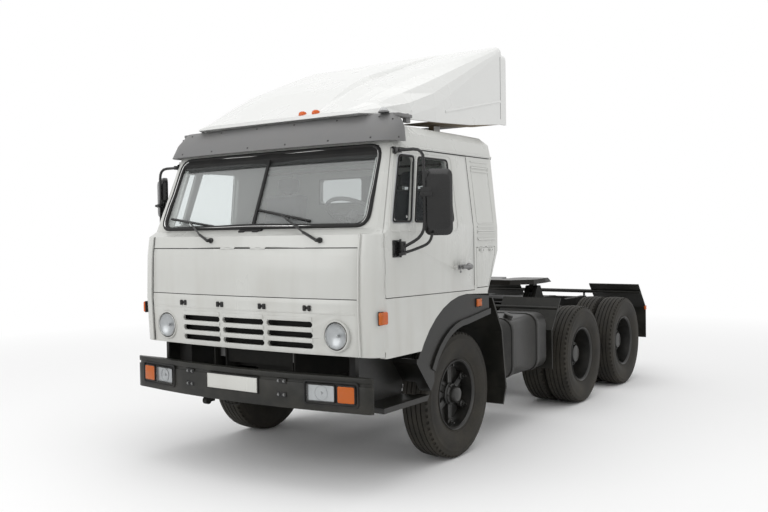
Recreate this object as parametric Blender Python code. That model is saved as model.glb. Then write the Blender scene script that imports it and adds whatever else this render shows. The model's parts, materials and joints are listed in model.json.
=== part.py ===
"""Cab-over tractor unit with three axles, a sleeper cab and a roof fairing.

Metres, +Z up, the front of the truck towards -Y and its left side at +X.
All places are written from a point on the ground below the front axle, and
one parent empty then moves the whole truck to the middle of its footprint.
"""

import bpy
import bmesh
import math
from mathutils import Matrix, Vector

# Clearances
seat_gap = 0.0003
seam = 0.006
overrun = 0.05
bite = 0.004
pin_play = 0.001
side_reach = 2.0
hinge_steps = 6
corner_steps = 4
rear_steps = 2
bow_steps = 4
hinge_room = 0.002
hood_swing_room = 0.0125
hinge_sink_share = 0.4
flat_deg = 0.05

# Wheels and axles
tyre_radius = 0.5265
tyre_width = 0.262
tyre_steps = 24
bead_radius = 0.285
rim_thickness = 0.022
wheelbase = 2.70
bogie_spread = 1.33
front_track = 2.07
twin_outer_x = 1.045
twin_spacing = 0.273
axle_height = tyre_radius * math.cos(math.pi / tyre_steps)
mid_axle_y = wheelbase
rear_axle_y = wheelbase + bogie_spread
bogie_y = wheelbase + bogie_spread / 2
front_wheel_x = front_track / 2
twin_inner_x = twin_outer_x - twin_spacing

# Half section of a tyre, from bead to crown
# columns: share of the way from bead to tread, share of half the width
tyre_section_shares = [(0.0, 0.70), (0.47, 1.0), (0.88, 0.90), (1.0, 0.62)]

# Steering
kingpin_x = 0.845
kingpin_radius = 0.028
knuckle_height = 0.24
knuckle_width = 0.11
spindle_radius = 0.042
spindle_end_x = 1.10
back_plate_radius = 0.185
back_plate_x = 0.925
back_plate_thickness = 0.012
steer_arm_length = 0.24
steer_arm_width = 0.05
steer_arm_thickness = 0.035
steer_arm_drop = 0.085
ball_radius = 0.017
track_rod_radius = 0.022
track_rod_drop = 0.145

# Front hub
hub_radius = 0.082
hub_cap_radius = 0.066
hub_cap_x = 1.155
hub_inner_x = 0.955
spider_x = 1.045
spider_thickness = 0.05
spoke_count = 6
spoke_width = 0.062
drum_radius = 0.205
drum_inner_x = 0.94
drum_outer_x = 1.01
lug_radius = 0.021
lug_length = 0.035
lug_circle_share = 0.9

# Rear hub
twin_disc_x = 0.905
twin_disc_thickness = 0.03
twin_hub_radius = 0.15
twin_hub_cap_radius = 0.098
twin_hub_x = 1.045
twin_hub_cap_x = 1.085
twin_hub_inner_x = 0.70
drum_wide_radius = 0.215

# Ladder frame
rail_x = 0.43
rail_top = 1.0
rail_height = 0.27
rail_flange = 0.08
rail_wall = 0.014
frame_front = -1.22
frame_rear = 4.66
cross_height = 0.14
cross_depth = 0.11
cross_places = [-1.10, 1.30, 2.12, 3.365, 4.55]
hanger_length = 0.10
tail_lamp_half = 0.16
tail_lamp_depth = 0.06
tail_lamp_height = 0.13
rail_bottom = rail_top - rail_height

# Front axle and its leaf springs
beam_half = 0.775
beam_height = 0.115
beam_depth = 0.10
beam_drop = 0.10
beam_drop_x = 0.55
spring_x = 0.385
spring_width = 0.08
spring_half = 0.78
spring_rise = 0.10
spring_leaf = 0.014
spring_pack = 0.075
spring_eye = 0.028
spring_base = 0.60

# Drive axles
axle_tube_radius = 0.068
banjo_radius = 0.20
banjo_half = 0.15
axle_tube_end = 0.655
spindle_rear_radius = 0.055
spring_pad_half = 0.05
spindle_rear_end = 1.0
shaft_radius = 0.046
shaft_flange_radius = 0.085
shaft_front_y = 1.14
shaft_front_z = 0.80

# Bogie leaf springs
bogie_spring_x = 0.535
bogie_spring_width = 0.09
bogie_spring_drop = 0.12
bogie_pack = 0.14
bogie_leaf = 0.03
trunnion_radius = 0.06
trunnion_z = 0.49
saddle_length = 0.20

# Engine, gearbox and radiator
engine_half = 0.33
engine_front = -0.86
engine_rear = 0.27
engine_bottom = 0.62
engine_top = 1.40
engine_mount_y = -0.30
engine_mount_half = 0.06
engine_mount_height = 0.035
sump_half = 0.18
gearbox_half = 0.22
gearbox_rear = 1.14
gearbox_bottom = 0.64
gearbox_top = 0.98
radiator_half = 0.34
radiator_front = -1.04
radiator_thickness = 0.10
radiator_bottom = 0.80
radiator_top = 1.34
silencer_radius = 0.13
silencer_x = -0.62
silencer_front = 0.62
silencer_rear = 1.02
silencer_z = 0.60

# Bumper
bumper_half = 1.225
bumper_top = 0.855
bumper_bottom = 0.60
bumper_front = -1.47
bumper_bow = 0.10
bumper_corner = 0.10
bumper_corner_depth = 0.045
bumper_rear = -1.325
bumper_wall = 0.07
bumper_ridge = 0.022
bumper_ridge_height = 0.035
bumper_ridge_top = 0.025
bumper_lamp_x = 0.905
bumper_lamp_width = 0.40
bumper_lamp_height = 0.125
bumper_lamp_top = 0.045
bumper_lamp_depth = 0.035
bumper_bracket_x = 0.36

# Cab skin
# columns: height, half width, front at the centre, bow, rear, front corner
cab_sections = [
    (0.90, 1.235, -1.325, 0.062, 0.426, 0.130),
    (1.35, 1.235, -1.348, 0.062, 0.426, 0.130),
    (1.70, 1.235, -1.335, 0.062, 0.615, 0.130),
    (1.86, 1.235, -1.310, 0.060, 0.618, 0.130),
    (1.905, 1.233, -1.205, 0.040, 0.620, 0.120),
    (2.530, 1.160, -0.960, 0.040, 0.640, 0.100),
    (2.620, 1.135, -0.910, 0.045, 0.650, 0.100),
    (2.680, 1.080, -0.830, 0.050, 0.590, 0.110),
    (2.705, 0.980, -0.700, 0.050, 0.490, 0.110),
]
cab_rear_corner = 0.06
gutter_rear = 0.54
cab_wall = 0.05
outer_panel = 0.028
panel_bottom = 0.985
skirt_bottom = 0.972
lower_seam_z = 1.393
upper_seam_z = 1.762
deflector_top = 1.866
deflector_x = 1.078
post_front_y = -1.178
front_split_y = -0.86
gutter_z = 2.50
header_z = 2.585
corner_split_x = 1.10
cab_bottom = 1.336
firewall_low = 1.02
firewall_inner = 0.075
air_gap_half = 0.80
air_gap_top = 1.345

# Door outline, from its hinge edge round to the rear
door_front = -1.161
door_rear = 0.135
door_low_front = 1.405
door_low_rear = 1.386
door_belt = 1.872
door_belt_back = 0.036
door_belt_rise = 0.033
door_top_front = -0.905
door_top = 2.492
door_corner = 0.05
door_hinge_low = 1.50
door_hinge_high = 1.76
door_knuckle = 0.0065
door_knuckle_length = 0.05
hood_hinge_x = 0.16
handle_y = -0.03
handle_z = 1.585
handle_length = 0.17
handle_height = 0.03
handle_out = 0.045

# Side windows
quarter_outline = [(-1.045, 1.955), (-0.820, 1.955), (-0.680, 2.435), (-0.862, 2.435)]
window_outline = [(-0.755, 1.955), (-0.190, 1.955), (-0.190, 2.435), (-0.605, 2.435)]
window_corner = 0.03
window_inset = 0.018
glass_thickness = 0.006
glass_margin = 0.012

# Windscreen and rear windows
screen_low = 1.925
screen_top = 2.520
screen_half_low = 1.085
screen_half_top = 1.055
screen_corner = 0.09
screen_inset = 0.012
screen_thickness = 0.008
divider_half = 0.014
rear_window_x = 0.49
rear_window_half = 0.255
rear_window_low = 2.17
rear_window_top = 2.40

# Sleeper side pressings and locker
rib_heights = [2.37, 2.40, 1.90, 1.85, 1.80]
rib_front = 0.20
rib_rear = 0.50
rib_height = 0.014
rib_out = 0.006
locker_front = 0.185
locker_rear_top = 0.505
locker_rear_low = 0.385
locker_top = 1.735
locker_low = 1.40
locker_hinge = 0.0065
locker_hinge_length = 0.04
locker_hinge_shares = (0.25, 0.75)

# Front arch of the cab side
arch_radius = 0.836
arch_lip_radius = 0.592
arch_rear_y = 0.405
arch_rear_top = 1.318
arch_rear_low = 1.165
arch_out_x = 1.245
arch_in_x = 1.13
arch_sheet = 0.02
lip_depth = 0.045
lip_width = 0.035
arch_steps = 7
arch_start_deg = 152.0
arch_end_deg = 90.0

# Step under the door
step_front = -1.205
step_rear = -0.625
step_top = 0.715
step_bottom = 0.585
step_in_x = 0.985
step_tread = 0.04
step_wall = 0.03

# Grille and headlamps
grille_half = 0.680
grille_low = 1.025
grille_top = 1.262
grille_rows = 3
grille_columns = 3
grille_post = 0.032
grille_bar = 0.036
lamp_x = 0.888
lamp_z = 1.130
lamp_radius = 0.112
lamp_front = -1.322
lamp_depth = 0.042
bezel_share = 0.84
lens_dome = 0.012
lamp_steps = 20

# Sun visor
# columns: height, half width, front at the centre
visor_sections = [(2.545, 1.200, -1.048), (2.660, 1.190, -0.985), (2.765, 1.165, -0.888)]
visor_bow = 0.045
visor_corner = 0.13
visor_wall = 0.018
visor_rear = -0.82
visor_top_plate = 0.02

# Roof fairing
# columns: place along the truck, top, bottom, half width, shoulder, ridge
fairing_sections = [
    (-0.930, 2.800, 2.772, 0.860, 0.250, 0.000),
    (-0.750, 2.890, 2.768, 0.980, 0.310, 0.018),
    (-0.500, 3.035, 2.748, 1.050, 0.330, 0.035),
    (-0.200, 3.165, 2.752, 1.090, 0.290, 0.036),
    (0.350, 3.355, 2.780, 1.110, 0.170, 0.024),
    (0.900, 3.538, 2.834, 1.120, 0.065, 0.006),
]
fairing_shoulder_share = 0.88
fairing_wall = 0.02
fairing_ridge_x = 0.43
fairing_ridge_slope = 0.03
fairing_steps = 4
fairing_foot_places = [-0.45, 0.25]
fairing_foot_x = 0.80
fairing_foot = 0.05
collar_rear = 1.055
collar_top = 3.495
collar_low = 2.842
collar_half = 1.088
collar_shoulder = 0.06
roof_lamp_places = [0.62, 0.74]
roof_lamp_radius = 0.03

# Cab floor and tilt pivot
floor_top = 1.42
floor_thickness = 0.045
tunnel_half = 0.42
tunnel_top = 1.62
tunnel_front = -0.98
tunnel_rear = 0.325
tunnel_wall = 0.03
tilt_y = -1.12
tilt_z = 0.93
tilt_x = 0.385
tilt_lug_width = 0.05
tilt_lug_depth = 0.09
tilt_pin_radius = 0.022
tilt_ear = 0.02

# Cab inside
dash_rear = -0.78
dash_top = 1.83
dash_bottom = 1.50
dash_lip = 0.06
column_x = 0.62
wheel_rim_radius = 0.225
wheel_rim_tube = 0.016
wheel_tilt_deg = 32.0
wheel_centre = (-0.70, 2.02)
seat_x = 0.70
seat_half = 0.26
seat_front = -0.42
seat_rear = 0.04
seat_base = 0.30
seat_cushion = 0.13
seat_back_top = 2.27
seat_back = 0.12
seat_lean = 0.10
bunk_front = 0.152
bunk_board = 0.02
bunk_top = 1.80
bunk_thickness = 0.13
bunk_half = 1.10

# Mirrors
# columns: side of the cab, lower edge, upper edge, width
mirror_sizes = [("left", 1.845, 2.328, 0.205), ("right", 2.020, 2.400, 0.190)]
mirror_x = 1.469
mirror_y = -0.815
mirror_turn_deg = 29.0
mirror_depth = 0.06
mirror_back_share = 0.82
mirror_corner = 0.045
arm_radius = 0.012
arm_x = 1.400
arm_y = -0.900
arm_top_z = 2.473
arm_low_z = 1.755
arm_bend = 0.09
arm_mount_y = -0.895
arm_foot_y = -0.995
arm_foot_z = 1.755
arm_foot_size = 0.05
clamp_z = 2.125
clamp_height = 0.07
clamp_width = 0.05

# Fuel tank
tank_front = 0.84
tank_rear = 1.80
tank_low = 0.50
tank_top = 1.05
tank_inner_x = 0.50
tank_outer_x = 1.13
tank_corner = 0.11
strap_shares = [0.22, 0.78]
strap_width = 0.06
strap_thickness = 0.008
tank_cap_radius = 0.045
tank_cap_height = 0.05
tank_cap_share = 0.30
tank_shelf = 0.03

# Battery box and air tanks on the right
box_front = 1.16
box_rear = 1.82
box_low = 0.56
box_top = 0.98
box_outer_x = 1.05
air_tank_radius = 0.11
air_tank_z = 0.66
air_tank_x = 0.62

# Bogie mudguards
guard_inner_x = 0.50
guard_outer_x = 1.15
guard_sheet = 0.012
guard_top_z = 1.165
guard_low_z = 0.47
guard_front_low_y = 1.90
guard_front_top_y = 2.13
guard_bend_z = 0.86
guard_rear_bend_y = 4.86
guard_rear_top_y = 4.58
guard_tube_radius = 0.024
guard_tube_z = 1.06

# Mudguard behind the front wheel
wing_top_y = 0.452
wing_top_z = 1.300
wing_mid_y = 0.63
wing_mid_z = 1.0
wing_low_y = 0.70
wing_low_z = 0.482
wing_flap_z = 0.34
wing_sheet = 0.02
wing_inner_x = 0.80
wing_outer_x = 1.235

# Fifth wheel
plate_y = 3.17
plate_top = 1.30
plate_thickness = 0.055
plate_half = 0.45
plate_front = 0.38
plate_rear = 0.43
plate_pivot_drop = 0.11
slot_half = 0.05
slot_mouth_half = 0.21
slot_depth = 0.40
throat_radius = 0.05
plate_ramp = 0.09
plate_rim = 0.035
fifth_pin_radius = 0.028
fifth_ear_x = 0.36
fifth_ear_width = 0.05
fifth_ear_depth = 0.11
subframe_x = 0.40
subframe_width = 0.07
subframe_height = 0.075
subframe_front = 2.30
subframe_rear = 3.98
subframe_slope = 0.34
bracket_width = 0.05
bracket_length = 0.26

front_end_y = bumper_front
rear_end_y = guard_rear_bend_y + guard_sheet / 2
middle_y = (front_end_y + rear_end_y) / 2


def clean_scene():
    for item in list(bpy.data.objects):
        bpy.data.objects.remove(item, do_unlink=True)


# Colours of the finishes: red, green, blue, roughness, metallic
finishes = {
    "pale_paint": (0.62, 0.63, 0.60, 0.45, 0.0),
    "white_paint": (0.80, 0.81, 0.78, 0.40, 0.0),
    "grey_paint": (0.14, 0.15, 0.16, 0.45, 0.0),
    "black_plastic": (0.025, 0.025, 0.027, 0.60, 0.0),
    "black_steel": (0.02, 0.02, 0.022, 0.50, 0.3),
    "rubber": (0.03, 0.028, 0.026, 0.85, 0.0),
    "glass": (0.05, 0.06, 0.06, 0.10, 0.0),
    "lamp": (0.75, 0.75, 0.72, 0.15, 0.0),
    "trim": (0.07, 0.07, 0.07, 0.80, 0.0),
}
materials = {}


def look(finish):
    if finish not in materials:
        red, green, blue, roughness, metallic = finishes[finish]
        made = bpy.data.materials.new(finish)
        made.use_nodes = True
        shader = made.node_tree.nodes["Principled BSDF"]
        shader.inputs["Base Color"].default_value = (red, green, blue, 1.0)
        shader.inputs["Roughness"].default_value = roughness
        shader.inputs["Metallic"].default_value = metallic
        materials[finish] = made
    return materials[finish]


# Shape tools


def closed(shape):
    bmesh.ops.remove_doubles(shape, verts=shape.verts, dist=seat_gap / 3)
    bmesh.ops.recalc_face_normals(shape, faces=shape.faces)
    return shape


def loft(rings):
    shape = bmesh.new()
    rows = []
    for ring in rings:
        rows.append([shape.verts.new(point) for point in ring])
    for low, high in zip(rows, rows[1:]):
        for at in range(len(low)):
            after = (at + 1) % len(low)
            shape.faces.new((low[at], low[after], high[after]))
            shape.faces.new((low[at], high[after], high[at]))
    shape.faces.new(reversed(rows[0]))
    shape.faces.new(rows[-1])
    return closed(shape)


def on_axis(axis, along, across, up):
    places = {
        "x": (along, across, up),
        "y": (across, along, up),
        "z": (across, up, along),
    }
    return Vector(places[axis])


def prism(outline, axis, low, high):
    rings = []
    for along in (low, high):
        rings.append([on_axis(axis, along, across, up) for across, up in outline])
    return loft(rings)


def box(x, y, z):
    outline = [(y[0], z[0]), (y[1], z[0]), (y[1], z[1]), (y[0], z[1])]
    return prism(outline, "x", x[0], x[1])


def rounded(outline, radius, steps=3):
    points = []
    for at, corner in enumerate(outline):
        here = Vector(corner)
        back = (Vector(outline[at - 1]) - here)
        ahead = (Vector(outline[(at + 1) % len(outline)]) - here)
        half = back.angle(ahead) / 2
        reach = min(radius / math.tan(half), back.length / 2, ahead.length / 2)
        turn = reach * math.tan(half)
        centre = here + (back.normalized() + ahead.normalized()).normalized() * (
            turn / math.sin(half))
        start = here + back.normalized() * reach - centre
        finish = here + ahead.normalized() * reach - centre
        sweep = start.angle_signed(finish)
        for step in range(steps + 1):
            arm = start.copy()
            arm.rotate(Matrix.Rotation(-sweep * step / steps, 2))
            points.append(tuple(centre + arm))
    return points


def turned(profile, axis, centre, steps, phase_share=0.5):
    """Spin a closed profile of (radius, place along the axis)."""
    shape = bmesh.new()
    direction = {"x": Vector((1, 0, 0)), "y": Vector((0, 1, 0)), "z": Vector((0, 0, 1))}[axis]
    across = Vector((0, 0, -1)) if axis != "z" else Vector((1, 0, 0))
    phase = Matrix.Rotation(2 * math.pi / steps * phase_share, 3, direction)
    middle = Vector(centre)
    rows = []
    for step in range(steps):
        spin = Matrix.Rotation(2 * math.pi * step / steps, 3, direction)
        row = []
        for radius, along in profile:
            arm = spin @ phase @ (across * radius)
            row.append(shape.verts.new(middle + arm + direction * along))
        rows.append(row)
    for at in range(steps):
        low = rows[at]
        high = rows[(at + 1) % steps]
        for here in range(len(profile)):
            after = (here + 1) % len(profile)
            shape.faces.new((low[here], low[after], high[after], high[here]))
    bmesh.ops.remove_doubles(shape, verts=shape.verts, dist=seat_gap / 3)
    spare = [edge for edge in shape.edges if not edge.link_faces]
    bmesh.ops.delete(shape, geom=spare, context="EDGES")
    return closed(shape)


def rod(start, end, radius, steps=12, end_radius=None):
    start = Vector(start)
    end = Vector(end)
    shape = bmesh.new()
    run = end - start
    turn = Vector((0, 0, 1)).rotation_difference(run).to_matrix().to_4x4()
    place = Matrix.Translation((start + end) / 2) @ turn
    bmesh.ops.create_cone(
        shape, cap_ends=True, segments=steps, radius1=radius,
        radius2=radius if end_radius is None else end_radius,
        depth=run.length, matrix=place)
    return closed(shape)


def bent_tube(route, radius, bend, steps=8, bend_steps=4):
    """Sweep a round section along a route whose corners are rounded."""
    points = [Vector(route[0])]
    for before, here, after in zip(route, route[1:], route[2:]):
        here = Vector(here)
        back = Vector(before) - here
        ahead = Vector(after) - here
        reach = min(bend, back.length / 2, ahead.length / 2)
        first = here + back.normalized() * reach
        last = here + ahead.normalized() * reach
        for step in range(bend_steps + 1):
            share = step / bend_steps
            points.append(
                first * (1 - share) ** 2 + here * 2 * share * (1 - share) + last * share ** 2)
    points.append(Vector(route[-1]))
    rings = []
    side = None
    for at, point in enumerate(points):
        ahead = points[min(at + 1, len(points) - 1)] - points[max(at - 1, 0)]
        ahead.normalize()
        if side is None:
            side = ahead.orthogonal().normalized()
        side = (side - ahead * side.dot(ahead)).normalized()
        other = ahead.cross(side)
        ring = []
        for step in range(steps):
            angle = 2 * math.pi * step / steps
            ring.append(point + side * radius * math.cos(angle) + other * radius * math.sin(angle))
        rings.append(ring)
    return loft(rings)


def as_object(shape, name):
    mesh = bpy.data.meshes.new(name)
    shape.to_mesh(mesh)
    made = bpy.data.objects.new(name, mesh)
    bpy.context.scene.collection.objects.link(made)
    return made


def combined(operation, shape, others):
    """Run exact Booleans and return the result as a new shape."""
    base = as_object(shape, "base")
    tools = []
    for other in others:
        tool = as_object(other, "tool")
        step = base.modifiers.new("step", "BOOLEAN")
        step.operation = operation
        step.solver = "EXACT"
        step.object = tool
        tools.append(tool)
    graph = bpy.context.evaluated_depsgraph_get()
    result = bmesh.new()
    evaluated = base.evaluated_get(graph)
    result.from_mesh(evaluated.to_mesh())
    evaluated.to_mesh_clear()
    for item in [base] + tools:
        mesh = item.data
        bpy.data.objects.remove(item, do_unlink=True)
        bpy.data.meshes.remove(mesh)
    return tidy(result)


def tidy(shape):
    bmesh.ops.remove_doubles(shape, verts=shape.verts, dist=seat_gap / 30)
    bmesh.ops.dissolve_degenerate(shape, edges=shape.edges, dist=seat_gap / 30)
    return shape


def fused(shape, *others):
    return combined("UNION", shape, others)


def cut(shape, *others):
    return combined("DIFFERENCE", shape, others)


def shared(shape, *others):
    return combined("INTERSECT", shape, others)


def mirrored(shape):
    other = shape.copy()
    bmesh.ops.scale(other, verts=other.verts, vec=Vector((-1, 1, 1)))
    bmesh.ops.reverse_faces(other, faces=other.faces)
    return other


def moved(shape, shift):
    other = shape.copy()
    bmesh.ops.translate(other, verts=other.verts, vec=Vector(shift))
    return other


def both(shape):
    return [shape, mirrored(shape)]


def node(name, shape, finish, home=(0, 0, 0), smooth_deg=35.0):
    """Make one sub-part whose origin lies at home, its joint or zero."""
    piece = moved(shape, -Vector(home))
    bmesh.ops.dissolve_limit(
        piece, angle_limit=math.radians(flat_deg), verts=piece.verts, edges=piece.edges)
    bmesh.ops.triangulate(piece, faces=piece.faces)
    made = as_object(piece, name)
    made.data.materials.append(look(finish))
    made.data.shade_smooth()
    made.data.set_sharp_from_angle(angle=math.radians(smooth_deg))
    made.parent = bpy.data.objects["truck_origin"]
    made.location = home
    return made


def sides():
    return (("left", 1), ("right", -1))


def sided(shape, side):
    return shape if side > 0 else mirrored(shape)


def barrel(axis, point, low, high, radius):
    start = Vector(point)
    end = Vector(point)
    at = "xyz".index(axis)
    start[at] = low
    end[at] = high
    return rod(start, end, radius, hinge_steps)


class Hinge:
    """Three barrels on one line: the middle one moves and the outer two stay."""

    def __init__(self, axis, point, middle, length, radius):
        near = middle - length / 2
        far = middle + length / 2
        self.moving = barrel(axis, point, near, far, radius)
        self.fixed = [
            barrel(axis, point, near - length, near - seat_gap * 2, radius),
            barrel(axis, point, far + seat_gap * 2, far + length, radius)]
        room = radius + hinge_room
        self.moving_room = barrel(axis, point, near - seat_gap, far + seat_gap, room)
        self.fixed_room = [
            barrel(axis, point, near - length - seat_gap * 2, near - seat_gap, room),
            barrel(axis, point, far + seat_gap, far + length + seat_gap * 2, room)]


def with_moving(shape, hinges):
    rooms = [room for hinge in hinges for room in hinge.fixed_room]
    return fused(cut(shape, *rooms), *[hinge.moving for hinge in hinges])


def with_fixed(shape, hinges):
    rooms = [hinge.moving_room for hinge in hinges]
    return fused(cut(shape, *rooms), *[part for hinge in hinges for part in hinge.fixed])


# Cab skin


def plan_ring(height, half, front, bow, rear, corner, inset):
    """One horizontal outline of the cab, from the front centre round."""
    half = half - inset
    front = front + inset
    rear = rear - inset
    corner = max(corner - inset, seat_gap * 10)
    back_corner = max(cab_rear_corner - inset, seat_gap * 10)
    edge = half - corner
    right = []
    for share in (0.0, 0.55):
        right.append((edge * share, front + bow * share * share))
    for step in range(corner_steps + 1):
        angle = math.pi / 2 * step / corner_steps
        right.append((
            edge + corner * math.sin(angle),
            front + bow + corner - corner * math.cos(angle)))
    for step in range(rear_steps + 1):
        angle = math.pi / 2 * step / rear_steps
        right.append((
            half - back_corner + back_corner * math.cos(angle),
            rear - back_corner + back_corner * math.sin(angle)))
    ring = right + [(0.0, rear)] + [(-x, y) for x, y in reversed(right[1:])]
    return [Vector((x, y, height)) for x, y in ring]


def cab_solid(inset, drop=0.0):
    rings = []
    for height, half, front, bow, rear, corner in cab_sections:
        level = height - inset if height > gutter_z else height
        rings.append(plan_ring(level, half, front, bow, rear, corner, inset))
    for point in rings[0]:
        point.z -= drop
    return loft(rings)


def cab_skin(outer, inner):
    return cut(cab_solid(outer), cab_solid(inner, overrun))


def door_outline(grow):
    """The door seen from the side, grown outwards by a seam."""
    belt_y = door_front + door_belt_back
    belt_z = door_belt + door_belt_rise
    outline = [
        (door_front - grow, door_low_front - grow),
        (door_rear + grow, door_low_rear - grow),
        (door_rear + grow, door_top + grow),
        (door_top_front - grow, door_top + grow),
        (belt_y - grow, belt_z),
        (door_front - grow, door_belt),
    ]
    return outline


def door_prism(grow, low_x=None):
    inner = corner_split_x if low_x is None else low_x
    return prism(door_outline(grow), "x", inner - overrun * 2, side_reach)


def arch_line(radius):
    """Arc over the front wheel that runs on to the rear of the cab."""
    points = []
    for step in range(arch_steps + 1):
        angle = math.radians(
            arch_start_deg + (arch_end_deg - arch_start_deg) * step / arch_steps)
        points.append((radius * math.cos(angle), axle_height + radius * math.sin(angle)))
    return points


def make_cab_shell():
    top = cab_sections[-1][0] + overrun
    far = side_reach
    front_line = door_outline(seam)
    skin = cab_skin(0.0, cab_wall)

    # Roof, split from the sides at the gutter
    roof_zone = prism([
        (front_split_y + seat_gap, gutter_z + seat_gap), (far, gutter_z + seat_gap),
        (far, top), (-far, top), (-far, header_z + seat_gap),
        (front_split_y + seat_gap, header_z + seat_gap)], "x", -far, far)
    roof = shared(skin, roof_zone)
    gutter = shared(cab_skin(-rib_out, 0.0 + bite), box(
        (-far, far), (front_split_y + seam, gutter_rear),
        (gutter_z + seat_gap, gutter_z + rib_height)))
    parts = [gutter]
    for place in roof_lamp_places:
        for side in (place, -place):
            parts.append(rod(
                (side, lamp_roof_y(), cab_sections[-1][0] - cab_wall / 2),
                (side, lamp_roof_y(), cab_sections[-1][0] + roof_lamp_radius * 3),
                roof_lamp_radius, 10, roof_lamp_radius * lug_circle_share))
    node("cab_roof", fused(roof, *parts), "pale_paint", tilt_home())

    # Back wall
    back = shared(skin, box(
        (-corner_split_x, corner_split_x), (0, far),
        (cab_bottom, gutter_z - seat_gap)))
    windows = []
    for side in (-1, 1):
        windows.append(prism(rounded([
            (side * rear_window_x - rear_window_half, rear_window_low),
            (side * rear_window_x + rear_window_half, rear_window_low),
            (side * rear_window_x + rear_window_half, rear_window_top),
            (side * rear_window_x - rear_window_half, rear_window_top)], window_corner),
            "y", 0, far))
    node("cab_back", cut(back, *windows), "pale_paint", tilt_home())
    rear_pane = shared(cab_skin(cab_wall + seat_gap, cab_wall + glass_thickness), box(
        (-rear_window_x - rear_window_half - glass_margin,
         rear_window_x + rear_window_half + glass_margin),
        (0, far), (rear_window_low - glass_margin, rear_window_top + glass_margin)))
    node("rear_window_glass", rear_pane, "glass", tilt_home())

    # Front frame: pillars, header, cowl and the wall behind the outer panels
    upper_zone = prism([
        (-far, upper_seam_z + seam), (front_line[5][0], upper_seam_z + seam),
        front_line[5], front_line[4], front_line[3],
        (front_split_y, gutter_z - seat_gap), (front_split_y, header_z),
        (-far, header_z)], "x", -far, far)
    upper = shared(skin, upper_zone)
    for zone in both(box(
            (deflector_x - seat_gap, far), (-far, door_front - seam + seat_gap),
            (0, deflector_top + seat_gap))):
        upper = cut(upper, zone)
    wall = shared(cab_skin(outer_panel + seat_gap * 2, firewall_inner), box(
        (-far, far), (-far, door_front - seam), (firewall_low, upper_seam_z + overrun)))
    wall = cut(wall, box((-air_gap_half, air_gap_half), (-far, far), (0, air_gap_top)))
    posts = both(shared(cab_skin(0.0, firewall_inner), box(
        (0, far), (post_front_y + seat_gap, door_front - seam),
        (firewall_low, deflector_top + seat_gap))))
    front = fused(upper, wall, *posts)
    inner_end = hood_hinge_x - door_knuckle_length * 1.6
    outer_end = hood_hinge_x + door_knuckle_length * 1.6
    for start, end in ((-inner_end, inner_end), (outer_end, deflector_x), (-deflector_x, -outer_end)):
        front = cut(front, barrel("x", hood_home(), start, end, hood_swing_room))
    front = with_fixed(front, hood_hinges())
    for side in (-1, 1):
        front = with_fixed(front, door_hinges(side))
    front = cut(front, screen_prism(0.0))
    node("cab_front", front, "pale_paint", tilt_home())

    # Windscreen: two panes with a dark bar between them
    pane = shared(cab_skin(screen_inset, screen_inset + screen_thickness), screen_prism(-seat_gap))
    bar = shared(
        cab_skin(bite, screen_inset + bite),
        box((-divider_half, divider_half), (-far, far), (0, top)), screen_prism(-seat_gap * 4))
    node("windscreen", fused(pane, bar), "glass", tilt_home())

    # Outer panels of the front
    low_panel = shared(cab_skin(0.0, outer_panel), box(
        (-deflector_x + seam, deflector_x - seam), (-far, door_front * 0.9),
        (panel_bottom, lower_seam_z)))
    node("grille_panel", with_grille(low_panel), "pale_paint", tilt_home())
    hood = shared(cab_skin(0.0, outer_panel - seam + seat_gap), box(
        (-deflector_x + seam, deflector_x - seam), (-far, door_front * 0.9),
        (lower_seam_z + seam, upper_seam_z)))
    node("front_panel", with_moving(hood, hood_hinges()), "pale_paint", hood_home())
    corner = shared(cab_skin(0.0, outer_panel), box(
        (deflector_x, far), (-far, post_front_y), (panel_bottom, deflector_top)))
    for name, side in sides():
        node("corner_deflector_" + name, sided(corner, side), "pale_paint", tilt_home())


def tilt_home():
    return (0, tilt_y, tilt_z)


def lamp_roof_y():
    return cab_sections[-1][2] + roof_lamp_radius


def hood_home():
    """Hinge line of the front panel, in the seam above it."""
    height = upper_seam_z + seam / 2
    low = cab_sections[2]
    high = cab_sections[3]
    share = (height - low[0]) / (high[0] - low[0])
    face = low[2] + (high[2] - low[2]) * share
    return (0, face + door_knuckle, height)


def hood_hinges():
    return [
        Hinge("x", hood_home(), place, door_knuckle_length, door_knuckle)
        for place in (-hood_hinge_x, hood_hinge_x)]


def door_axis_x():
    return cab_sections[0][1] - door_knuckle * hinge_sink_share


def door_axis_y():
    return door_front - seam / 2


def door_hinges(side):
    point = (side * door_axis_x(), door_axis_y(), 0)
    return [
        Hinge("z", point, height, door_knuckle_length, door_knuckle)
        for height in (door_hinge_low, door_hinge_high)]


def screen_prism(grow):
    outline = rounded([
        (-screen_half_low - grow, screen_low - grow), (screen_half_low + grow, screen_low - grow),
        (screen_half_top + grow, screen_top + grow), (-screen_half_top - grow, screen_top + grow),
    ], screen_corner, 4)
    return prism(outline, "y", -side_reach, 0)


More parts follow.
